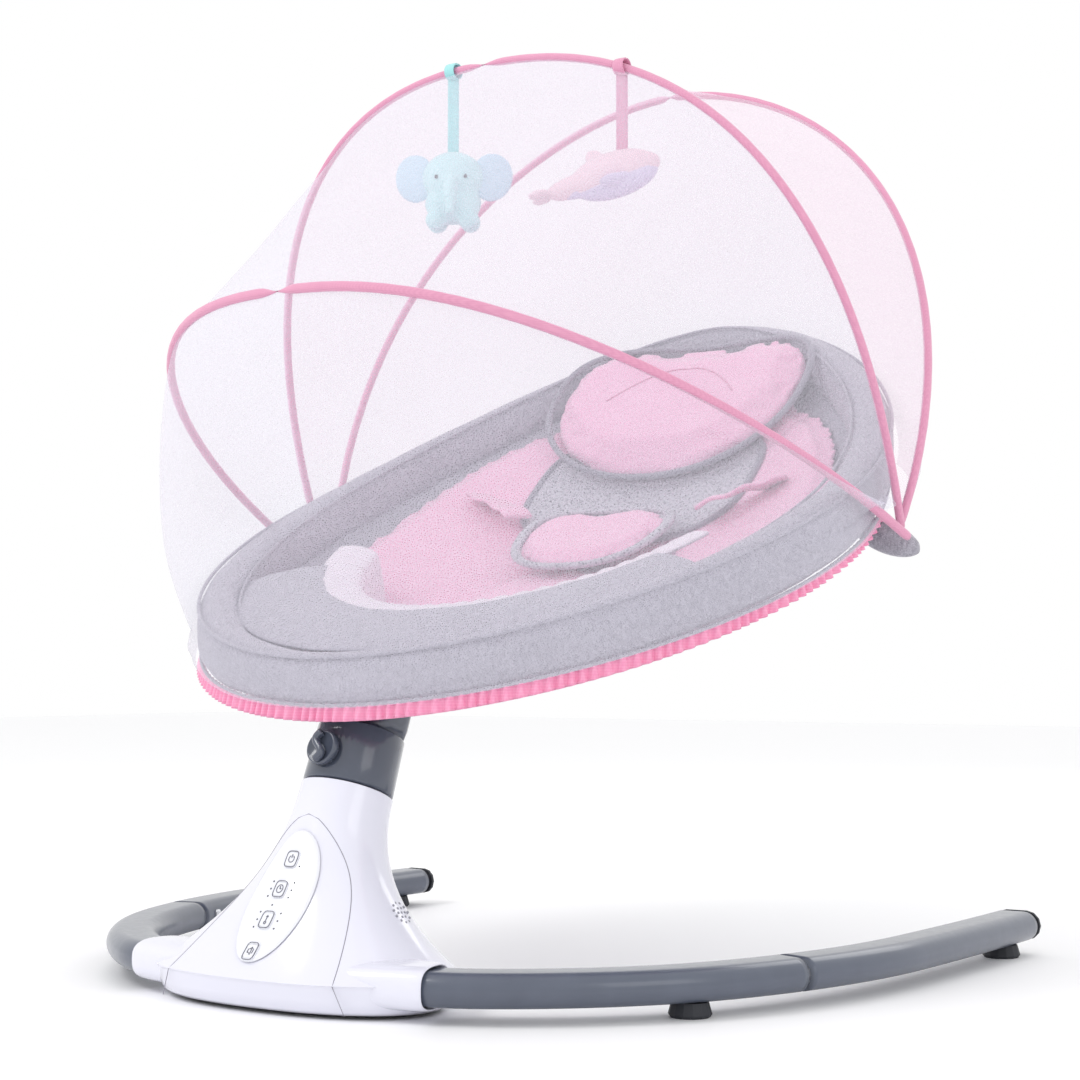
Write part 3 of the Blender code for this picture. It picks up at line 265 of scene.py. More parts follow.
keep("grey_fabric", heather("grey_heather_knit", (0.225, 0.215, 0.255), (0.54, 0.52, 0.585)))
keep("pink_plush", plush("pink_short_plush", (0.83, 0.42, 0.60), (0.96, 0.60, 0.76)))
keep("pink_tape", ribbon("pink_woven_tape", (0.66, 0.27, 0.42), (0.80, 0.38, 0.53)))
keep("grey_mesh", spacer_mesh())
keep("net", sheer_net("lilac_sheer_net", (0.86, 0.84, 0.95), 0.27))
keep("toy_aqua", plush("aqua_toy_plush", (0.50, 0.77, 0.80), (0.66, 0.89, 0.90), 0.0013))
keep("toy_lilac", plush("lilac_toy_plush", (0.66, 0.58, 0.78), (0.80, 0.72, 0.88), 0.0013))
rosy_net = sheer_net("rosy_sheer_net", (0.93, 0.78, 0.90), 0.30).material
pale_quilt = plush("pale_quilting", (0.74, 0.66, 0.74), (0.86, 0.79, 0.85)).material
pink_toy = plush("rose_toy_plush", (0.86, 0.62, 0.70), (0.94, 0.74, 0.80), 0.0013).material
aqua_ribbon = ribbon("aqua_ribbon", (0.30, 0.66, 0.68), (0.44, 0.80, 0.80)).material
piping_cord = ribbon("grey_piping", (0.20, 0.19, 0.23), (0.34, 0.33, 0.38), 0.0008).material
ruffle_pink = ribbon("pink_elastic_ruffle", (0.86, 0.26, 0.46), (0.96, 0.44, 0.62), 0.0020).material
stitch_grey = Paint("grey_thread", (0.30, 0.29, 0.34), 0.8).material
ink_grey = Paint("grey_print", (0.16, 0.16, 0.20), 0.5).material
lamp_dark = Paint("unlit_lamp", (0.03, 0.03, 0.05), 0.25, Coat_Weight=0.6).material
eye_black = Paint("glossy_bead", (0.010, 0.010, 0.014), 0.12, Coat_Weight=0.8).material
# dark grey for the speaker holes: painted shade that stands in for the inside of each recessed hole
speaker_hole_painted_shade = Paint("painted_shade_in_holes", (0.33, 0.33, 0.38), 0.6).material

for node in frame["record"]["subparts"]:
    shown = bpy.data.objects.get(node["node"])
    if shown is not None and shown.type == "MESH":
        for spot in shown.material_slots:
            spot.material = paints[node["material_slot"]]
        if not shown.material_slots:
            shown.data.materials.append(paints[node["material_slot"]])

# %% [markdown]
# ## The camera, the floor and the light
# The camera stands low, to the right of the foot end, and looks slightly up, as somebody kneeling in front of the
# swing would. The studio is a pale floor under a bright, even sky, with one large soft key light above the left
# shoulder that draws the long highlights on the housing and the neck.

# %% Camera, floor and lamps
CAMERA_SIDE, CAMERA_REACH, CAMERA_HIGH, CAMERA_TILT = radians(35.0), 1.6, 0.219, radians(3.42)
ahead = Vector((-sin(CAMERA_SIDE) * cos(CAMERA_TILT), cos(CAMERA_SIDE) * cos(CAMERA_TILT), sin(CAMERA_TILT)))
across = Vector((cos(CAMERA_SIDE), sin(CAMERA_SIDE), 0))
upward = across.cross(ahead)
camera = bpy.data.objects.new("camera", bpy.data.cameras.new("camera"))
camera.matrix_world = Matrix((across, upward, -ahead)).transposed().to_4x4()
camera.location = (CAMERA_REACH * sin(CAMERA_SIDE), -CAMERA_REACH * cos(CAMERA_SIDE), CAMERA_HIGH)
camera.data.lens, camera.data.sensor_width, camera.data.shift_x = 70.02, 36.0, 0.0094
bpy.context.scene.collection.objects.link(camera)
bpy.context.scene.camera = camera


def lamp(name, place, target, size, power):
    """A soft square light that looks at a point."""
    light = bpy.data.objects.new(name, bpy.data.lights.new(name, "AREA"))
    light.data.size, light.data.energy = size, power
    light.location = place
    light.rotation_euler = (Vector(target) - Vector(place)).to_track_quat("-Z", "Y").to_euler()
    bpy.context.scene.collection.objects.link(light)


lamp("key_light", (-1.1, -1.5, 2.1), (0, 0, 0.3), 0.9, 16)
lamp("fill_light", (2.0, -0.6, 1.2), (0, 0, 0.3), 1.0, 4)
lamp("back_light", (0.3, 1.9, 1.8), (0, 0, 0.4), 1.2, 7)
sky = bpy.data.worlds.new("studio_sky")
sky.use_nodes = True
sky.node_tree.nodes["Background"].inputs[0].default_value = (1.0, 1.0, 1.0, 1)
sky.node_tree.nodes["Background"].inputs[1].default_value = 1.0
bpy.context.scene.world = sky
bpy.context.scene.view_settings.view_transform = "Standard"
floor_mesh = bpy.data.meshes.new("studio_floor")
floor_mesh.from_pydata([(-6, -6, 0), (6, -6, 0), (6, 6, 0), (-6, 6, 0)], [], [(0, 1, 2, 3)])
studio_floor = bpy.data.objects.new("studio_floor", floor_mesh)
bpy.context.scene.collection.objects.link(studio_floor)
floor_paint = Paint("pale_floor", (0.96, 0.96, 0.97), 0.6)
floor_paint.put("Base Color", floor_paint.blend(floor_paint.cloud(1.5, 1), (0.955, 0.955, 0.965), (0.97, 0.97, 0.98)))
floor_mesh.materials.append(floor_paint.material)
print("camera at", tuple(round(v, 3) for v in camera.location), "with three soft lamps")

# %% [markdown]
# ## Rows of points become cloth
# Nearly every soft piece here is a surface through rows of points: a band is a row swept along a curve, a pad is
# an outline drawn smaller and smaller. One function turns rows into quads, one makes the object and fastens it to
# a body of the model, and one sweeps a small section along a line for piping, tape and cord.

# %% From points to pieces
def grid(rows, ring=False, loop=False, caps=False):
    """Quads through rows of points; `ring` closes each row and `loop` joins the last row to the first."""
    count, wide = len(rows), len(rows[0])
    faces = []
    for r in range(count if loop else count - 1):
        for c in range(wide if ring else wide - 1):
            a, b, n = r * wide + c, r * wide + (c + 1) % wide, (r + 1) % count * wide
            faces.append((a, b, n + (c + 1) % wide, n + c))
    if caps:
        faces += [tuple(range(wide))[::-1], tuple(range((count - 1) * wide, count * wide))]
    return [Vector(p) for row in rows for p in row], faces


def join(*parts):
    """Several sets of points and faces as one."""
    points, faces = [], []
    for more, others in parts:
        faces += [tuple(i + len(points) for i in face) for face in others]
        points += more
    return points, faces


def make(name, shape, material, body, instead_of=(), smooth=0, thick=0.0):
    """A piece of the swing: its mesh, its finish, the body it moves with and the CAD nodes it stands for."""
    mesh = bpy.data.meshes.new(name)
    points, faces = shape
    mesh.from_pydata(points, [], faces)
    net = bmesh.new()
    net.from_mesh(mesh)
    bmesh.ops.remove_doubles(net, verts=net.verts, dist=1e-6)
    bmesh.ops.recalc_face_normals(net, faces=net.faces)
    net.to_mesh(mesh)
    net.free()
    mesh.shade_smooth()
    piece = bpy.data.objects.new(name, mesh)
    bpy.context.scene.collection.objects.link(piece)
    mesh.materials.append(material)
    if thick:
        solid = piece.modifiers.new("cloth_thickness", "SOLIDIFY")
        solid.thickness, solid.offset = thick, 0.0
    if smooth:
        finer = piece.modifiers.new("finer", "SUBSURF")
        finer.levels = finer.render_levels = smooth
    if body:
        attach(piece, body)
    if instead_of:
        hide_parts(*instead_of)
    return piece


def oval(wide, high, steps, shape=2.0):
    """A rounded section, rounder at 2 and squarer above it."""
    turns = [2 * pi * i / steps for i in range(steps)]
    return [(wide * power(cos(a), 2 / shape), high * power(sin(a), 2 / shape)) for a in turns]


def power(value, exponent):
    return abs(value) ** exponent * (1 if value >= 0 else -1)


def sweep(line, section, closed=False, up=Vector((0, 0, 1)), size=lambda share: 1.0):
    """A section (a list of side, height pairs) carried along a line of points."""
    rows, last = [], len(line) - 1
    for i, point in enumerate(line):
        before = line[i - 1] if closed or i else point
        after = line[(i + 1) % len(line)] if closed or i < last else point
        ahead = (after - before).normalized()
        side = ahead.cross(up)
        side = side.normalized() if side.length > 1e-4 else Vector((1, 0, 0))
        high = side.cross(ahead)
        grown = size(i / max(last, 1))
        rows.append([point + (side * s + high * h) * grown for s, h in section])
    return grid(rows, ring=True, loop=closed, caps=not closed)


print("helpers: grid, join, make, oval, sweep")

# %% [markdown]
# ## The line of the seat ring
# The seat hangs in one oval ring that rises in a curve from the foot end to the head end. Everything on the seat
# starts from this line, so it is written down once, with the hollow of the bucket under it.

# %% The ring, the bucket and the hoops as formulas
RING_Y, RING_HALF, RING_STEPS = 0.020, 0.250, 144
BUCKET_DEPTH, BUCKET_POWER = 0.080, 2.6
HUB = Vector((0, 0.081, 0.305))
HOOPS = {"rear": (0.2620, 0.4190, -17.9, 1.80, 0.355), "mid": (0.2720, 0.3900, 21.1, 2.31, 0.09),
         "front": (0.2820, 0.4020, 66.7, 2.46, -0.195)}


def ring_z(y):
    w = y - RING_Y
    return 0.320 + 0.485 * w + 0.340 * w ** 2 + 0.66 * w ** 3


def reach_of(toward_head):
    return (0.285, 1.80) if toward_head > 0 else (0.250, 1.95)


def ring_point(turn, share=1.0):
    """The ring at an angle from the head end, through the right side; `share` moves the point to the middle."""
    reach, shape = reach_of(cos(turn))
    x = RING_HALF * power(sin(turn), 2 / shape) * share
    y = RING_Y + reach * power(cos(turn), 2 / shape) * share
    return Vector((x, y, ring_z(y)))


def bucket_z(x, y):
    """The height of the bucket's cloth under a point of the seat."""
    reach, shape = reach_of(y - RING_Y)
    rho = (abs(x / RING_HALF) ** shape + abs((y - RING_Y) / reach) ** shape) ** (1 / shape)
    return ring_z(y) - BUCKET_DEPTH * (1 - min(rho, 1) ** BUCKET_POWER)


def outward(turn):
    """The level direction out of the ring, away from the seat."""
    along = ring_point(turn + 0.01) - ring_point(turn - 0.01)
    return Vector((-along.y, along.x, 0)).normalized()


def hoop_point(kind, k, clear=0.012):
    half, height, lean, shape, spread = HOOPS[kind]
    a, lean = pi * k, radians(lean)
    x = half * power(cos(a), 2 / shape) * (1 + spread * sin(a))
    h = max(height * max(sin(a), 0) ** (2 / shape), clear)
    return HUB + Vector((x, -h * sin(lean), h * cos(lean)))


def rim_line(end, k):
    """Where the net meets the rim, from the right hub round the foot or the head end to the left hub."""
    hub_turn = radians(75)
    turn = hub_turn + (2 * pi - 2 * hub_turn) * k if end == "foot" else hub_turn * (1 - 2 * k)
    return ring_point(turn) + outward(turn) * 0.020 + Vector((0, 0, 0.004))


print("ring from", [round(v, 3) for v in ring_point(pi)], "to", [round(v, 3) for v in ring_point(0)])

# %% [markdown]
# ## The padded rim
# A steel tube carries the seat, and a band of grey heather cloth with a little foam is wrapped round it. The band
# is low at the foot and deep at the sides. It could be a bevelled curve, but its height changes along the way, so
# each section is drawn one by one. Small uneven puckers beside the seam show that it is sewn and not moulded.

# %% Rim band and its piping
RIM_WIDE, RIM_HIGH, RIM_HIGHER, RIM_RISE = 0.0165, 0.0185, 0.0060, 0.0045  # half sizes, and what the sides gain


def rim_row(turn):
    side = sin(turn) ** 2
    high = RIM_HIGH + RIM_HIGHER * side
    point, out = ring_point(turn), outward(turn)
    row = []
    for s, h in oval(RIM_WIDE, high, 28, 2.7):
        where = point + out * s + Vector((0, 0, h + RIM_RISE * side))
        pucker = noise.noise(where * 90) * 0.0006 + noise.noise(where * 28) * 0.0010
        row.append(where + (out * s + Vector((0, 0, h))).normalized() * pucker)
    return row


rim_turns = [2 * pi * i / RING_STEPS for i in range(RING_STEPS)]
rim = make("rim_band", grid([rim_row(t) for t in rim_turns], ring=True, loop=True), paints["grey_fabric"],
           "swing", ["rim_cover"], smooth=1)


def rim_cord(side, high, radius):
    """A cord on the rim's surface; side and high run from -1 to 1 across its section."""
    line = []
    for turn in rim_turns:
        swell = sin(turn) ** 2
        tall = (RIM_HIGH + RIM_HIGHER * swell) * high + RIM_RISE * swell
        line.append(ring_point(turn) + outward(turn) * RIM_WIDE * side + Vector((0, 0, tall)))
    return sweep(line, oval(radius, radius, 8), closed=True)


cords = join(rim_cord(0.93, 0.80, 0.0014), rim_cord(-0.93, 0.80, 0.0012), rim_cord(0.80, -0.93, 0.0013))
make("rim_piping", cords, paints["grey_fabric"], "swing")
print("rim band of", len(rim.data.polygons), "faces")

# %% [markdown]
# ## The sling and the apron
# Under the pads one sheet of heather cloth is sewn to the ring and hangs as a bucket. It is stretched, so it has
# few wrinkles: only shallow pulls that fan out from the seam. At the foot end a second, flat piece joins the rim
# to the seat like an apron. Both are single sheets with a thickness, which is what Solidify is for.

# %% Sling and foot apron
def sling_row(share):
    row = []
    for turn in rim_turns:
        point = ring_point(turn, share)
        pull = sin(turn * 23 + 2 * sin(turn * 3)) * 0.0009 * share ** 4
        row.append(Vector((point.x, point.y, bucket_z(point.x, point.y) - 0.0010 + pull * (share < 0.97))))
    return row


sling = make("sling_cloth", grid([sling_row(s) for s in np.linspace(0.02, 0.99, 28)], ring=True),
             paints["grey_fabric"], "swing", ["seat_sling"], thick=0.0016)


def apron_row(share):
    row = []
    for turn in np.linspace(radians(118), radians(242), 72):
        point = ring_point(turn, share)
        crown = 0.0025 * sin(pi * (share - 0.68) / 0.27)
        ripple = noise.noise(Vector((point.x * 45, point.y * 60, 3.1))) * 0.0008
        row.append(Vector((point.x, point.y, ring_z(point.y) + 0.0135 + crown + ripple)))
    return row


apron = make("foot_apron_cloth", grid([apron_row(s) for s in np.linspace(0.68, 0.95, 16)]), paints["grey_fabric"],
             "swing", ["foot_apron"], smooth=1, thick=0.0022)
print("sling and apron sewn to the rim")

# %% [markdown]
# ## Cushions that are really stuffed
# A cushion looks stuffed because its cloth is pulled tight by the filling. So each pad starts as a thin closed
# form on the bucket, gets an even mesh, and is blown up by Blender's Cloth solver like a balloon for twenty
# frames. Points may only move a few millimetres, and never down through the sling. Seams and piping come after.

# %% Pads blown up by the cloth solver
def outline(middle, half, shape, taper=0.0, steps=64, share=1.0):
    spots = []
    for x, y in oval(half[0] * share, half[1] * share, steps, shape):
        narrow = 1 - taper * (0.5 - 0.5 * y / half[1])
        spots.append((middle[0] + x * narrow, middle[1] + y))
    return spots


def pad_shape(middle, half, lift, thick, shape, taper=0.0):
    """A closed thin pad lying on the bucket, thickest in the middle and pinched at its edge."""
    top, low = [], []
    shares = [0.02, 0.2, 0.4, 0.6, 0.76, 0.88, 0.95, 0.99]
    for share in shares:
        full = (1 - 0.72 * share ** 6) ** 0.5
        top.append([(x, y, bucket_z(x, y) + lift + thick * (0.5 + 0.5 * full)) for x, y in
                    outline(middle, half, shape, taper, share=share)])
        low.append([(x, y, bucket_z(x, y) + lift + thick * (0.5 - 0.5 * full)) for x, y in
                    outline(middle, half, shape, taper, share=share)])
    return grid(top + low[::-1], ring=True, caps=True)


def settle(piece, voxel, cap, base):
    """Runs the cloth solver on a pad and keeps the result as its mesh."""
    even = piece.modifiers.new("even", "REMESH")
    even.mode, even.voxel_size, even.use_smooth_shade = "VOXEL", voxel, True
    graph = bpy.context.evaluated_depsgraph_get()
    fresh = bpy.data.meshes.new_from_object(piece.evaluated_get(graph))
    piece.modifiers.clear()
    piece.data = fresh
    start = np.empty(len(fresh.vertices) * 3)
    fresh.vertices.foreach_get("co", start)
    cloth = piece.modifiers.new("stuffing", "CLOTH")
    cloth.settings.quality, cloth.settings.mass = 5, 0.25
    cloth.settings.use_pressure, cloth.settings.uniform_pressure_force = True, 4.0
    cloth.settings.bending_stiffness = 0.4
    cloth.settings.effector_weights.gravity = 0.0
    cloth.point_cache.frame_start, cloth.point_cache.frame_end = 1, 20
    for step in range(1, 21):
        bpy.context.scene.frame_set(step)
    swollen = piece.evaluated_get(bpy.context.evaluated_depsgraph_get()).data
    moved = np.empty(len(swollen.vertices) * 3)
    swollen.vertices.foreach_get("co", moved)
    piece.modifiers.clear()
    bpy.context.scene.frame_set(1)
    start, moved = start.reshape(-1, 3), moved.reshape(-1, 3)
    step = moved - start
    length = np.maximum(np.linalg.norm(step, axis=1, keepdims=True), 1e-9)
    moved = start + step * np.minimum(1, cap / length)
    fresh.vertices.foreach_set("co", moved.reshape(-1))
    for vertex in fresh.vertices:
        vertex.co.z = max(vertex.co.z, base(vertex.co.x, vertex.co.y))
    fresh.update()
    fresh.shade_smooth()
    finer = piece.modifiers.new("finer", "SUBSURF")
    finer.levels = finer.render_levels = 1


def pad(name, cushion, material, nodes, voxel, cap):
    """One sewn pad: its thin form, its swelling, and its place on the swing."""
    middle, half, lift, thick, shape, taper = cushion
    piece = make(name, pad_shape(middle, half, lift, thick, shape, taper), material, None)
    settle(piece, voxel, cap, lambda x, y: bucket_z(x, y) + lift)
    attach(piece, "swing")
    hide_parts(*nodes)
    return piece


LINER = ((0, 0.047), (0.212, 0.216), 0.0032, 0.0130, 2.15, 0.0)
SEAT_PAD = ((0, 0.0), (0.082, 0.077), 0.0216, 0.0075, 2.3, 0.0)
PILLOW = ((0, 0.218), (0.122, 0.053), 0.0300, 0.0260, 2.4, 0.0)
WAIST = ((0, 0.080), (0.073, 0.039), 0.0425, 0.0070, 2.6, 0.25)
MESH_PAD = ((0, 0.160), (0.105, 0.052), 0.0216, 0.0055, 3.2, 0.0)
liner = pad("liner_cushion", LINER, paints["pink_plush"], ["liner_pad"], 0.0055, 0.005)
seat_cushion = pad("seat_cushion", SEAT_PAD, paints["pink_plush"], ["seat_pad"], 0.005, 0.005)
pillow = pad("head_pillow_plush", PILLOW, paints["pink_plush"], ["head_pillow"], 0.005, 0.009)
waist = pad("waist_plush", WAIST, paints["pink_plush"], ["waist_pad"], 0.004, 0.004)
print("pads stuffed:", *[len(p.data.vertices) for p in (liner, seat_cushion, pillow, waist)])

# %% [markdown]
# ## The hood: tape, hoops and sheer net
# Three spring-steel hoops carry the hood, each sewn into a sleeve of pink tape. The net between them is a sheer
# knit: one layer of mesh with a see-through material, because a net with thickness would double its threads. The
# sheets between two hoops bend across the fold of the hood; here they are baked in place and fastened to no body.

# %% Taped hoops
HOOP_BODIES = {"rear": "swing", "mid": "net_mid", "front": "net_front"}


def hoop_line(kind, steps=120, ends=0.0):
    return [hoop_point(kind, ends + (1 - 2 * ends) * i / steps) for i in range(steps + 1)]


for kind, body in HOOP_BODIES.items():
    tape = sweep(hoop_line(kind), oval(0.0034, 0.0030, 14, 2.4), up=Vector((1, 0, 0)),
                 size=lambda share: 1 + 0.05 * sin(share * 310))
    make(f"hoop_tape_{kind}", tape, paints["pink_tape"], body, [f"net_hoop_{kind}"], smooth=1)
print("hoops taped:", ", ".join(HOOP_BODIES))

# %% Net sheets
def net_sheet(first, second, bulge, trims, rows=28, columns=96):
    """A sheet of net between two lines, pulled in or out between them."""
    middle = HUB + Vector((0, 0, 0.10))
    lines = []
    for r in range(rows + 1):
        v, row = r / rows, []
        for c in range(columns + 1):
            k = trims + (1 - 2 * trims) * c / columns
            point = first(k).lerp(second(k), v)
            away = (point - middle).normalized()
            ripple = 0.0010 * sin(k * 160) * sin(pi * v) + 0.004 * noise.noise(point * 9)
            row.append(point + away * (bulge * 4 * v * (1 - v) + ripple * sin(pi * v)))
        lines.append(row)
    return grid(lines)


def fold_line(between, reach=0.07):
    """Two points across the middle of two hoops, where a net sheet between them starts and ends its turn."""
    lean = radians(between)
    return [HUB + Vector((0, -cos(lean), -sin(lean))) * s * reach for s in (-1, 1)]


rear_net = make("net_rear_sheet", net_sheet(lambda k: hoop_point("rear", k), lambda k: hoop_point("mid", k),
                -0.004, 0.02), rosy_net, None, ["net_rear_panel"])
start, end = fold_line(1.6)
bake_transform(rear_net)
top_net = make("net_top_sheet", net_sheet(lambda k: hoop_point("mid", k), lambda k: hoop_point("front", k),
               -0.004, 0.02), paints["net"], None, ["net_top_panel"])
start, end = fold_line(43.9)
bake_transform(top_net)
def hem_line(k):
    """Under the rim, where the net is gathered on its elastic."""
    turn = radians(75) + radians(210) * k
    return ring_point(turn) + outward(turn) * 0.0170 + Vector((0, 0, -0.0190))


drape = net_sheet(lambda k: hoop_point("front", k), lambda k: rim_line("foot", k), 0.015, 0.03)
skirt = net_sheet(lambda k: rim_line("foot", k), hem_line, 0.002, 0.03, rows=5)
front_net = make("net_front_sheet", join(drape, skirt), paints["net"], "net_front", ["net_front_panel"])
back_net = make("net_back_sheet", net_sheet(lambda k: hoop_point("rear", k), lambda k: rim_line("head", k),
                0.010, 0.03), rosy_net, "swing", ["net_back_panel"])
for sheet in (rear_net, top_net, front_net, back_net):
    area = sum(p.area for p in sheet.data.polygons)
    print(sheet.name, "area", round(area, 4), "square metres")
print("four net sheets hung")

# %% [markdown]
# ## The floor tube in one sweep
# The swing stands on a flat-oval steel tube bent to a wide C. The line of its middle is a chain of arcs, each
# given by a radius and the heading where it ends. Many short steps along it keep the bends smooth. Two joints
# with a hair gap split it into the front bend and the two rear tubes, exactly where the real tube comes apart.

# %% Bent tubes
BENDS = ((0.080, 30.9), (0.274, 66.7), (0.472, 88.3), (3.100, 91.9))


def arm_line(side, steps=44):
    """Points and distances along one half of the tube, from its middle in front to its rear end."""
    x, y, heading, gone = 0.0, -0.273, 0.0, 0.1013
    line = [(0.0, Vector((0, y, 0.0209))), (gone, Vector((side * gone, y, 0.0209)))]
    x = gone
    for radius, last in BENDS:
        turn = (radians(last) - heading) / steps
        for _ in range(steps):
            x += radius * (sin(heading + turn) - sin(heading))
            y += radius * (cos(heading) - cos(heading + turn))
            heading, gone = heading + turn, gone + radius * turn
            line.append((gone, Vector((side * x, y, 0.0209))))
    return line


def stadium(wide, high, steps=24):
    flat, r = wide / 2 - high / 2, high / 2
    spots = [radians(-90 + 180 * i / steps) for i in range(steps + 1)]
    right = [(flat + r * cos(a), r * sin(a)) for a in spots]
    return right + [(-a, -b) for a, b in right]


SEAM_AT, TUBE_END = 0.3616, 0.6843
right_arm, left_arm = arm_line(1), arm_line(-1)
front_line = [p for s, p in left_arm[::-1] if 0 < s < SEAM_AT] + [p for s, p in right_arm if s < SEAM_AT]
make("front_bend", sweep(front_line, stadium(0.038, 0.022)), paints["steel_paint"], "base",
     ["base_front_tube"])
for label, arm in (("right", right_arm), ("left", left_arm)):
    rear_line = [p for s, p in arm if SEAM_AT + 0.0005 < s < TUBE_END]
    make(f"rear_tube_{label}", sweep(rear_line, stadium(0.038, 0.022)), paints["steel_paint"], "base",
         [f"base_rear_tube_{label}"])
print("floor tube ends at", [round(v, 3) for v in right_arm[-1][1]], "after", round(right_arm[-1][0], 3), "m")

# %% [markdown]
# ## The housing as one smooth moulding
# The exact housing is made of flat steps, which gloss plastic would show at once. The moulding is redrawn here
# from the same formula with many more points: rings that swell from the round neck to the wide foot. Rows lie
# close together at the skirt, so that its crease stays crisp. The parting line is a real hair-thin groove cord.

# %% Smooth housing and tube mouths
AXIS_POINT, AXIS_LEAN = Vector((0, -0.2147, 0.1338)), radians(21)
SKIRT_MIDDLE = Vector((0, -0.257, 0.022))


def housing_spot(down, turn, inset=0.0):
    """A point of the housing: down is 0 at the neck and 1 at the skirt; turn 270 degrees is the front."""
    swell = down ** 2.3
    half_x, half_y = 0.0316 + 0.0844 * swell - inset, 0.0316 + 0.0324 * swell - inset
    lean, shape = AXIS_LEAN * (1 - down) ** 1.5, 2 / (2 + 0.3 * down)
    side = Vector((half_x * power(cos(turn), shape), 0, 0))
    across = Vector((0, cos(lean), -sin(lean)))
    return AXIS_POINT.lerp(SKIRT_MIDDLE, down) + side + across * half_y * power(sin(turn), shape)


def front_spot(x, z, proud=0.0):
    """The point of the housing's front at this place, seen from in front, and its outward direction."""
    def at(x, z):
        low, high = 0.0, 1.0
        for _ in range(30):
            down = (low + high) / 2
            swell, shape = down ** 2.3, 2 / (2 + 0.3 * down)
            turn = -np.arccos(min((abs(x) / (0.0316 + 0.0844 * swell)) ** (1 / shape), 1.0))
            spot = housing_spot(down, turn)
            low, high = (down, high) if spot.z > z else (low, down)
        return Vector((x, spot.y, z))
    normal = (at(x + 0.001, z) - at(x - 0.001, z)).cross(at(x, z + 0.001) - at(x, z - 0.001)).normalized()
    normal = -normal if normal.y > 0 else normal
    return at(x, z) + normal * proud, normal


turns = [2 * pi * i / 144 for i in range(144)]
downs = [0.0, 0.004] + [i / 40 for i in range(1, 39)] + [0.975, 0.990, 0.997, 1.0]
skin_rows = [[housing_spot(0, t, 0.012) for t in turns], [housing_spot(0, t, 0.0012) for t in turns]]
skin_rows += [[housing_spot(d, t) for t in turns] for d in downs]
SKIRT = ((0.0212, 0.0010), (0.0195, 0.0016), (0.012, 0.0030), (0.0055, 0.0062), (0.0030, 0.0100), (0.0030, 0.0200))
for z, tuck in SKIRT:  # height, and how far the skirt has drawn in
    skin_rows.append([Vector((p.x, p.y, z)) for p in [housing_spot(1, t, tuck) for t in turns]])


def tube_spot(s):
    """Place and heading on the floor tube, at a distance from its middle."""
    a = max(abs(s) - 0.1013, 0) / 0.080
    straight = min(abs(s), 0.1013)
    where = Vector(((straight + 0.080 * sin(a)) * (1 if s > 0 else -1), -0.273 + 0.080 * (1 - cos(a)), 0.0209))
    return where, Vector((cos(a) * (1 if s > 0 else -1), sin(a), 0))


def mouth(side):
    walls = ((0.060, 0.0120), (0.080, 0.0100), (0.098, 0.0062), (0.112, 0.0036), (0.1185, 0.0030), (0.119, 0.0024))
    rows = []
    for s, wall in walls + ((0.119, 0.0010), (0.100, 0.0010)):
        where, ahead = tube_spot(side * s)
        inward = Vector((-ahead.y, ahead.x, 0)) * side
        rows.append([where + inward * a + Vector((0, 0, b)) for a, b in
                     oval(0.019 + wall, 0.011 + min(wall, 0.0038), 48, 2.9)])
    return grid(rows, ring=True)


make("housing_moulding", grid(skin_rows, ring=True), paints["white_plastic"], "base",
     ["housing_rear_shell", "housing_front_cover"])
for label, side in (("right", 1), ("left", -1)):
    make(f"tube_mouth_{label}", mouth(side), paints["white_plastic"], "base", smooth=1)
print("housing moulded with", len(skin_rows), "rings")

# %% [markdown]
# ## Seams, touch panel and speaker
# The front cover meets the rear shell in a hair line that opens to a small notch at the bottom. The touch panel
# is a thin oval film with four square keys, each printed with an outline and a plain sign, and groups of small
# lamps beside them. The prints are thin raised pieces, so that they stay sharp from close up.

# %% Cover seam, panel film and speaker
seam = []
for i in range(81):
    z = 0.004 + (0.1215 - 0.004) * (1 - abs(i / 40 - 1))
    half = 0.29 * max(0.122 - z, 0) ** 0.62
    seam.append(front_spot(half * ((i < 40) - (i > 40)), z)[0])
make("cover_seam", sweep(seam, oval(0.00030, 0.00025, 8)), stitch_grey, "base")
film = []
for share in (0.03, 0.3, 0.55, 0.75, 0.9, 0.975, 1.0):
    lift = 0.0016 if share < 0.98 else 0.0008
    ring = []
    for t in turns:
        x = 0.0245 * (1 - 0.10 * sin(t)) * cos(t) * share
        ring.append(front_spot(x, 0.071 + 0.040 * sin(t) * share, lift)[0])
    film.append(ring)
make("touch_panel_film", grid(film, ring=True), paints["panel_white"], "base", ["control_panel"])


def printed(name, z, lines, body, material, thin=0.00028):
    """Thin raised lines on the panel: each line is a list of (across, up) points in millimetres."""
    shapes = []
    for line in lines:
        path = [front_spot(x / 1000, z + y / 1000, 0.00275)[0] for x, y in line]
        shapes.append(sweep(path, oval(thin, thin, 6), up=Vector((0, -1, 0))))
    return make(name, join(*shapes), material, body)


def circle(radius, first=0, last=360, middle=(0, 0), steps=24):
    spots = [radians(first + (last - first) * i / steps) for i in range(steps + 1)]
    return [(middle[0] + radius * cos(a), middle[1] + radius * sin(a)) for a in spots]


def key_outline():
    return [(4.5 * power(cos(a), 0.45), 4.9 * power(sin(a), 0.45)) for a in np.linspace(0, 2 * pi, 41)]


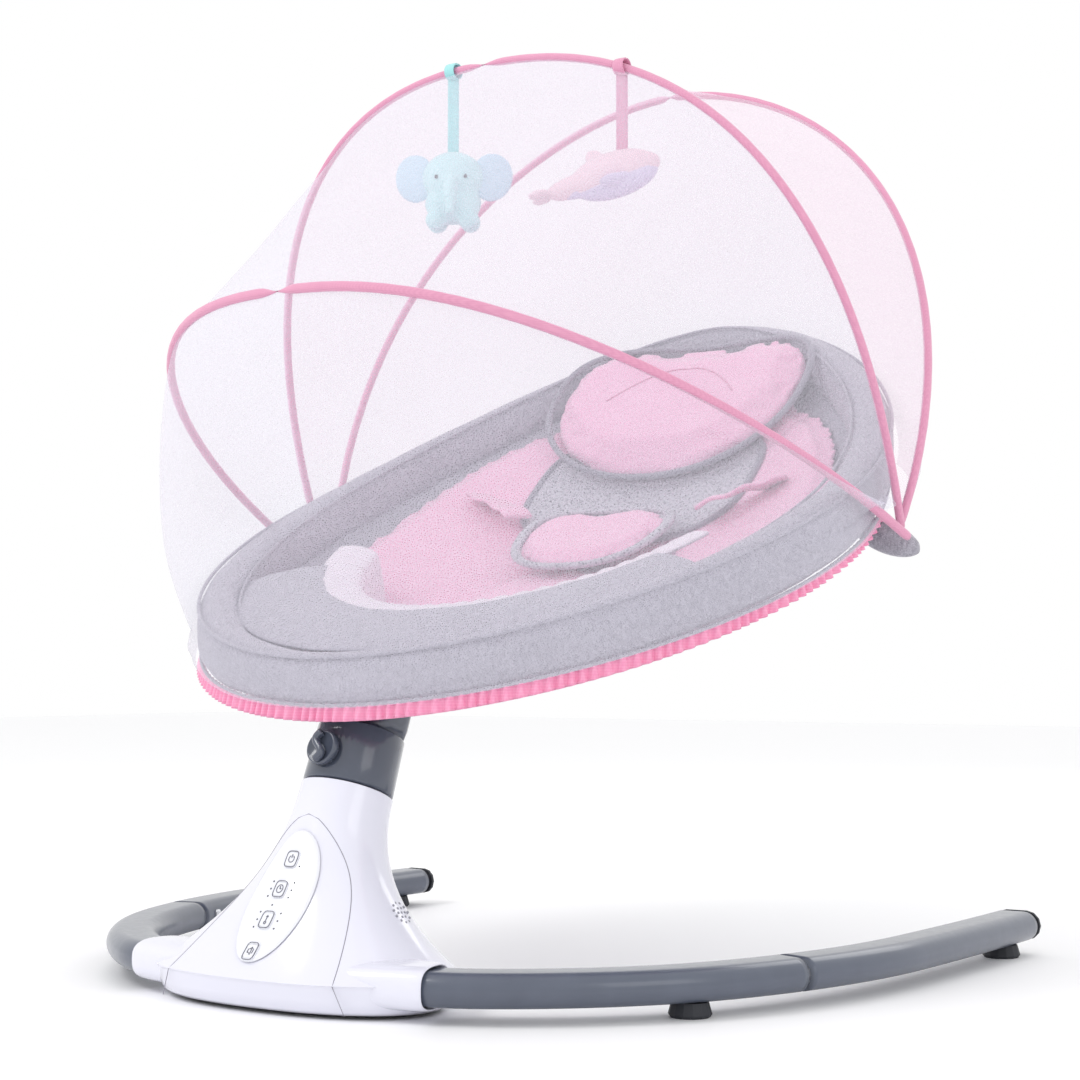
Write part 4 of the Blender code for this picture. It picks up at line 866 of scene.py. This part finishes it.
SIGNS = (
    [circle(2.1, -240, 60), [(0, 2.9), (0, 0.6)]],
    [circle(2.4), [(0, 0), (0, 1.6)], [(0, 0), (1.2, 0)]],
    [circle(0.8, middle=(0, -1.9)), [(0, -1.1), (0, 2.6)], [(-1, 1.6), (1, 1.6)]],
    [[(-2, -1), (-2, 1), (-0.8, 1), (0.6, 2.2), (0.6, -2.2), (-0.8, -1), (-2, -1)], circle(2.2, -40, 40)],
)
KEY_Z = (0.0920, 0.0735, 0.0550, 0.0365)
for i, (z, sign) in enumerate(zip(KEY_Z, SIGNS)):
    printed(f"key_print_{i + 1}", z, [key_outline()] + sign, f"button_{i + 1}", ink_grey)
lamps = [(7.5, 0.0880), (-1.5, 0.0640)] + [(x, z) for z in (0.0735, 0.0550) for x in (-8.6, 8.6)]
lamps += [(x, z + d) for z in (0.0735, 0.0550) for x in (-8.6, 8.6) for d in (-0.0045, 0.0045)]
dots = []
for x, z in lamps:
    spot, normal = front_spot(x / 1000, z, 0.0017)
    flat = Vector((1, 0, 0)).cross(normal).normalized()
    dots.append(grid([[spot + (Vector((1, 0, 0)) * cos(t) + flat * sin(t)) * r + normal * h for t in turns[::12]]
                      for r, h in ((0.0007, -0.0002), (0.0006, 0.0001), (0.0001, 0.0002))], ring=True))
make("panel_lamps", join(*dots), lamp_dark, "base")
# The speaker holes are small dark grey discs just proud of the housing: painted shade in place of each hole's recess.
speaker = housing_spot(0.66, radians(8))
along = (housing_spot(0.66, radians(9)) - housing_spot(0.66, radians(7))).normalized()
steep = (housing_spot(0.64, radians(8)) - housing_spot(0.68, radians(8))).normalized()
outside = along.cross(steep).normalized()
holes = []
for count, radius in ((1, 0.0), (6, 0.0042), (11, 0.0084)):
    for i in range(count):
        a = 2 * pi * i / count
        spot = speaker + along * radius * cos(a) + steep * radius * sin(a)
        holes.append(grid([[spot + (along * cos(t) + steep * sin(t)) * r + outside * h for t in turns[::12]]
                           for r, h in ((0.0010, -0.0008), (0.00095, 0.0003), (0.0001, 0.00028))], ring=True))
make("speaker_holes", join(*holes), speaker_hole_painted_shade, "base")
print("panel with", len(lamps), "lamps, grille with", len(holes), "holes")

# %% [markdown]
# ## Neck, lock knob and seat head
# The neck is a dark gloss sleeve that turns with the seat. A profile spun round the axis gives it, with enough
# steps for clean highlights. The knob is a dial with a curved finger bar. Above it a rounded head carries the ring.

# %% Neck, knob and head
AXIS = Matrix.Translation(AXIS_POINT) @ Matrix.Rotation(-AXIS_LEAN, 4, "X")


def spun(profile, place, steps=96):
    return grid([[place @ Vector((r * cos(2 * pi * i / steps), r * sin(2 * pi * i / steps), h)) for i in range(steps)]
                 for r, h in profile], ring=True)


neck_profile = [(0.0150, 0.0012), (0.0292, 0.0012), (0.0306, 0.0018), (0.0310, 0.0030), (0.0307, 0.0150),
                (0.0303, 0.0300), (0.0300, 0.0408), (0.0294, 0.0418), (0.0200, 0.0420)]
make("neck_sleeve", spun(neck_profile, AXIS), paints["grey_plastic"], "swing", ["neck_shell"])
face = AXIS @ Matrix.Translation((0, -0.0314, 0.0195)) @ Matrix.Rotation(pi / 2, 4, "X")
dial = [(0.0005, 0.0052), (0.0092, 0.0052), (0.0102, 0.0060), (0.0112, 0.0061), (0.0119, 0.0052), (0.0120, 0.0010),
        (0.0112, 0.0008)]
bar = [face @ Vector((0.0034 * sin(i / 24 * 2 * pi), -0.0096 + 0.0192 * i / 24, 0.0080)) for i in range(25)]
out = (face.to_3x3() @ Vector((0, 0, 1))).normalized()
make("lock_dial", join(spun(dial, face), sweep(bar, oval(0.0024, 0.0030, 16, 2.8), up=out)),
     paints["grey_plastic"], "lock_knob", ["lock_knob"])
head_rows = []
for h, wide, deep, back in ((0.0424, 0.0240, 0.0175, 0), (0.0430, 0.0250, 0.0185, 0), (0.050, 0.0254, 0.0190, 0.001),
                            (0.064, 0.0252, 0.0180, 0.002), (0.070, 0.0240, 0.0160, 0.002), (0.071, 0.01, 0.01, 0.002)):
    head_rows.append([AXIS @ Vector((x, y + back + 0.004, h)) for x, y in oval(wide, deep, 64, 4.0)])
make("seat_head", grid(head_rows, ring=True, caps=True), paints["grey_plastic"], "swing",
     ["seat_bracket", "ring_clamp"])
print("neck, knob and head turned")

# %% [markdown]
# ## Trimmings of the pads
# The head pillow and the waist pad are edged with a grey knit cord that hides where their two faces are sewn
# together. The cord runs round the outline of the pad at half its height. A second, shallow seam crosses the
# pillow in an arc, and the belts are flat quilted ribbons that fold where they pass the waist pad.

# %% Piping, seams and the mesh pad
def edge_line(cushion, spread=0.0, rise=0.5, steps=120):
    middle, half, lift, thick, shape, taper = cushion
    wider = (half[0] + spread, half[1] + spread)
    return [Vector((x, y, bucket_z(x, y) + lift + thick * rise)) for x, y in
            outline(middle, wider, shape, taper, steps=steps)]


def surface_of(piece, x, y, default):
    """The height of a piece's top under a plumb line."""
    hit, spot, *_ = piece.ray_cast(Vector((x, y, 1.0)), Vector((0, 0, -1)))
    return spot.z if hit else default


make("pillow_piping", sweep(edge_line(PILLOW, 0.0012), oval(0.0030, 0.0026, 12), closed=True), piping_cord, "swing")
make("waist_edging", sweep(edge_line(WAIST, 0.0006), oval(0.0044, 0.0028, 12, 2.4), closed=True), paints["grey_mesh"],
     "swing")
mesh_pad = make("back_mesh_cloth", pad_shape(*MESH_PAD), paints["grey_mesh"], "swing", ["back_mesh_pad"],
                smooth=1)
make("back_mesh_edging", sweep(edge_line(MESH_PAD, -0.001, 0.8), oval(0.0030, 0.0020, 10), closed=True), piping_cord,
     "swing")
arc = []
for i in range(41):
    x = -0.062 + 0.124 * i / 40
    y = 0.204 + 0.030 * (1 - (x / 0.062) ** 2)
    arc.append(Vector((x, y, surface_of(pillow, x, y, bucket_z(x, y) + 0.054) + 0.0002)))
make("pillow_arc_seam", sweep(arc, oval(0.0009, 0.0006, 8)), paints["pink_tape"], "swing")


def belt(side):
    rows = []
    for i in range(31):
        f = i / 30
        x, y = 0.150 - 0.066 * f, 0.135 - 0.030 * f
        lift = 0.0255 + 0.022 * sin(pi / 2 * f)
        middle = Vector((side * x, y, bucket_z(x, y) + lift + 0.0012 * sin(f * 17)))
        across = Vector((side * 0.414, -0.91, 0.1 * sin(f * 6))).normalized()
        rows.append([middle + across * s + Vector((0, 0, h)) for s, h in
                     oval(0.0125 + 0.0012 * sin(f * 9 + side), 0.0020, 24, 3.5)])
    return grid(rows, ring=True, caps=True)


for label, side in (("right", 1), ("left", -1)):
    strap = make(f"waist_belt_{label}", belt(side), paints["pink_plush"], "swing",
                 [f"harness_belt_{label}"], smooth=1)
print("pads trimmed")

# %% [markdown]
# ## The pale quilted edge and the ruffled elastic
# Between the grey apron and the pink liner a strip of pale quilting rolls down into the seat. Below the rim the
# edge of the net is gathered on elastic. A ruffle is only a strip with more cloth than length: it is drawn as a
# band whose points swing in and out, more at the free edge than at the stitched one.

# %% Quilted roll and ruffle
quilt_rows = []
for j in range(17):
    f = j / 16
    share = 0.705 - 0.13 * min(f / 0.6, 1) - 0.035 * max(f - 0.6, 0) / 0.4
    row = []
    for turn in np.linspace(radians(104), radians(256), 161):
        point = ring_point(turn, share)
        shelf = ring_z(point.y) + 0.0125 - 0.010 * min(f / 0.6, 1) ** 2
        drop = max(f - 0.6, 0) / 0.4
        low = bucket_z(point.x, point.y) + 0.0180
        stitch = abs(sin(turn * 34)) * 0.0022 * sin(pi * f)
        row.append(Vector((point.x, point.y, shelf + (low - shelf) * drop ** 1.5 + stitch)))
    quilt_rows.append(row)
quilt = make("pale_quilt_roll", grid(quilt_rows), pale_quilt, "swing", smooth=1, thick=0.003)

ruffle_rows = []
for j in range(7):
    f, row = j / 6, []
    for i in range(1201):
        turn = radians(76 + 208 * i / 1200)
        swing = sin(i * 0.62 + 1.4 * sin(i * 0.083)) * (0.0008 + 0.0016 * f)
        ends = sin(pi * i / 1200) ** 0.5
        deep = 0.0035 + 0.0085 * ends
        spot, out = ring_point(turn), outward(turn)
        side = sin(turn) ** 2
        top = RIM_RISE * side - RIM_HIGH - RIM_HIGHER * side + 0.0025
        row.append(spot + out * (0.0125 + swing + 0.0012 * f) + Vector((0, 0, top - deep * f)))
    ruffle_rows.append(row)
ruffle = make("elastic_ruffle", grid(ruffle_rows), ruffle_pink, "swing", ["net_hem"], thick=0.0008)
print("ruffle area", round(sum(p.area for p in ruffle.data.polygons), 4))

# %% [markdown]
# ## Hub covers
# The hoops meet at a pivot on each side of the rim. On this hood the pivots are sewn into a small pocket of the
# grey cloth, so only a soft bump can be seen. A few ovals that grow and shrink again along the pivot give it.

# %% Pockets over the pivots
for label, side in (("right", 1), ("left", -1)):
    rows = []
    for i in range(17):
        f = i / 16
        round_it = sin(pi * min(max(f, 0.02), 0.98)) ** 0.45
        middle = HUB + Vector((side * (0.232 + 0.052 * f), 0, -0.002 + 0.018 * (1 - f)))
        rows.append([middle + Vector((0, y * round_it, z * round_it)) for y, z in oval(0.0115, 0.0125, 28, 2.5)])
    make(f"hub_pocket_{label}", grid(rows, ring=True, caps=True), paints["grey_fabric"], "swing",
         [f"net_hub_{label}"], smooth=1)
print("pivots covered")

# %% [markdown]
# ## Two soft toys
# A soft toy has no edges: its parts are stuffed and flow into each other. Each one starts as a handful of
# stretched balls. A voxel remesh melts them into one skin, and a few smoothing passes take away the joins.

# %% Balls melted into toys
def ball(middle, radii, tilt=(0, 0, 0), steps=20):
    turn = Matrix.Rotation(tilt[2], 4, "Z") @ Matrix.Rotation(tilt[1], 4, "Y") @ Matrix.Rotation(tilt[0], 4, "X")
    rows = []
    for i in range(1, steps):
        a = pi * i / steps
        rows.append([Vector(middle) + turn @ Vector((radii[0] * sin(a) * cos(b), radii[1] * sin(a) * sin(b),
                     radii[2] * cos(a))) for b in [2 * pi * j / 28 for j in range(28)]])
    return grid(rows, ring=True, caps=True)


def melted(name, balls, place, material, body, nodes=(), voxel=0.0013):
    piece = make(name, join(*balls), material, None)
    piece.data.transform(place)
    even = piece.modifiers.new("melt", "REMESH")
    even.mode, even.voxel_size, even.use_smooth_shade = "VOXEL", voxel, True
    soft = piece.modifiers.new("soften", "SMOOTH")
    soft.factor, soft.iterations = 0.5, 8
    fresh = bpy.data.meshes.new_from_object(piece.evaluated_get(bpy.context.evaluated_depsgraph_get()))
    piece.modifiers.clear()
    piece.data = fresh
    fresh.shade_smooth()
    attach(piece, body)
    if nodes:
        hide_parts(*nodes)
    return piece


def hung(kind_k, length, yaw, tilt, shift, half_z):
    spot = hoop_point("mid", kind_k)
    end = spot - Vector((0, 0, length))
    place = Matrix.Translation(end) @ Matrix.Rotation(yaw, 4, "Z") @ Matrix.Translation((shift, 0, 0.005 - half_z))
    return spot, end, place @ Matrix.Rotation(tilt, 4, "Y")


def toy_ribbon(name, spot, end, material, body):
    loop = [spot + Vector((0, sin(a), -cos(a))) * 0.0058 for a in np.linspace(-pi * 0.95, pi * 0.95, 24)]
    line = [spot + (end - spot) * f for f in np.linspace(0.085, 1.0, 24)]
    make(name, join(sweep(loop, oval(0.0006, 0.0045, 12, 3), up=Vector((1, 0, 0))),
                    sweep(line, oval(0.0042, 0.0006, 12, 3), up=Vector((0.57, -0.82, 0)))), material, body)


def bead_eyes(toy, spots, radii):
    points, faces = join(*[ball(middle, radii) for middle in spots])
    make(f"{toy}_eyes", ([place @ p for p in points], faces), eye_black, toy)


spot, end, place = hung(0.522, 0.066, radians(30), 0, 0.0, 0.030)
toy_ribbon("elephant_ribbon", spot, end, aqua_ribbon, "elephant")
elephant = [ball((0, 0, 0.009), (0.0235, 0.0168, 0.0205)), ball((0, 0, -0.010), (0.0215, 0.0150, 0.0160))]
elephant += [ball((x, y, -0.0235), (0.0078, 0.0075, 0.0078)) for x in (-0.0125, 0.0125) for y in (-0.006, 0.006)]
elephant += [ball((0, -0.0150 - 0.0025 * i ** 0.5, 0.004 - 0.0058 * i), (0.0056 - 0.0004 * i,) * 3) for i in range(5)]
melted("elephant_body", elephant, place, paints["toy_aqua"], "elephant", ["elephant_toy"])
blue_plush = plush("pale_blue_toy_plush", (0.52, 0.70, 0.82), (0.66, 0.82, 0.92), 0.0013).material
ears = [ball((side * 0.0290, 0.002, 0.010), (0.0165, 0.0036, 0.0190), (0, side * 0.25, side * 0.25))
        for side in (-1, 1)]
melted("elephant_ears", ears, place, blue_plush, "elephant", voxel=0.0011)
bead_eyes("elephant", [(side * 0.0110, -0.0150, 0.0075) for side in (-1, 1)], (0.0013, 0.0010, 0.0016))

spot, end, place = hung(0.388, 0.068, radians(25), radians(-16), -0.012, 0.0175)
toy_ribbon("whale_ribbon", spot, end, paints["pink_tape"], "whale")
whale = [ball((0.006, 0, 0.001), (0.0335, 0.0150, 0.0160)), ball((-0.022, 0, 0.001), (0.0230, 0.0090, 0.0085)),
         ball((0.028, 0, 0.001), (0.0135, 0.0100, 0.0088))]
whale += [ball((-0.0490, side * 0.0080, 0.0015), (0.0078, 0.0092, 0.0030), (0, 0, side * 0.5)) for side in (-1, 1)]
whale += [ball((-0.004, 0, 0.0165), (0.0070, 0.0026, 0.0065), (0, 0.6, 0))]
melted("whale_body", whale, place, pink_toy, "whale", ["whale_toy"])
belly = [ball((0.007, 0, -0.0022), (0.0320, 0.0140, 0.0145)), ball((-0.018, 0, -0.0010), (0.0210, 0.0082, 0.0074))]
belly += [ball((0.006, side * 0.0165, -0.0070), (0.0115, 0.0065, 0.0026), (side * 0.5, 0, side * -0.5))
          for side in (-1, 1)]
melted("whale_belly", belly, place, paints["toy_lilac"], "whale", voxel=0.0012)
bead_eyes("whale", [(0.0275, side * 0.0098, 0.0040) for side in (-1, 1)], (0.0012, 0.0009, 0.0014))
print("elephant and whale hung on their ribbons")
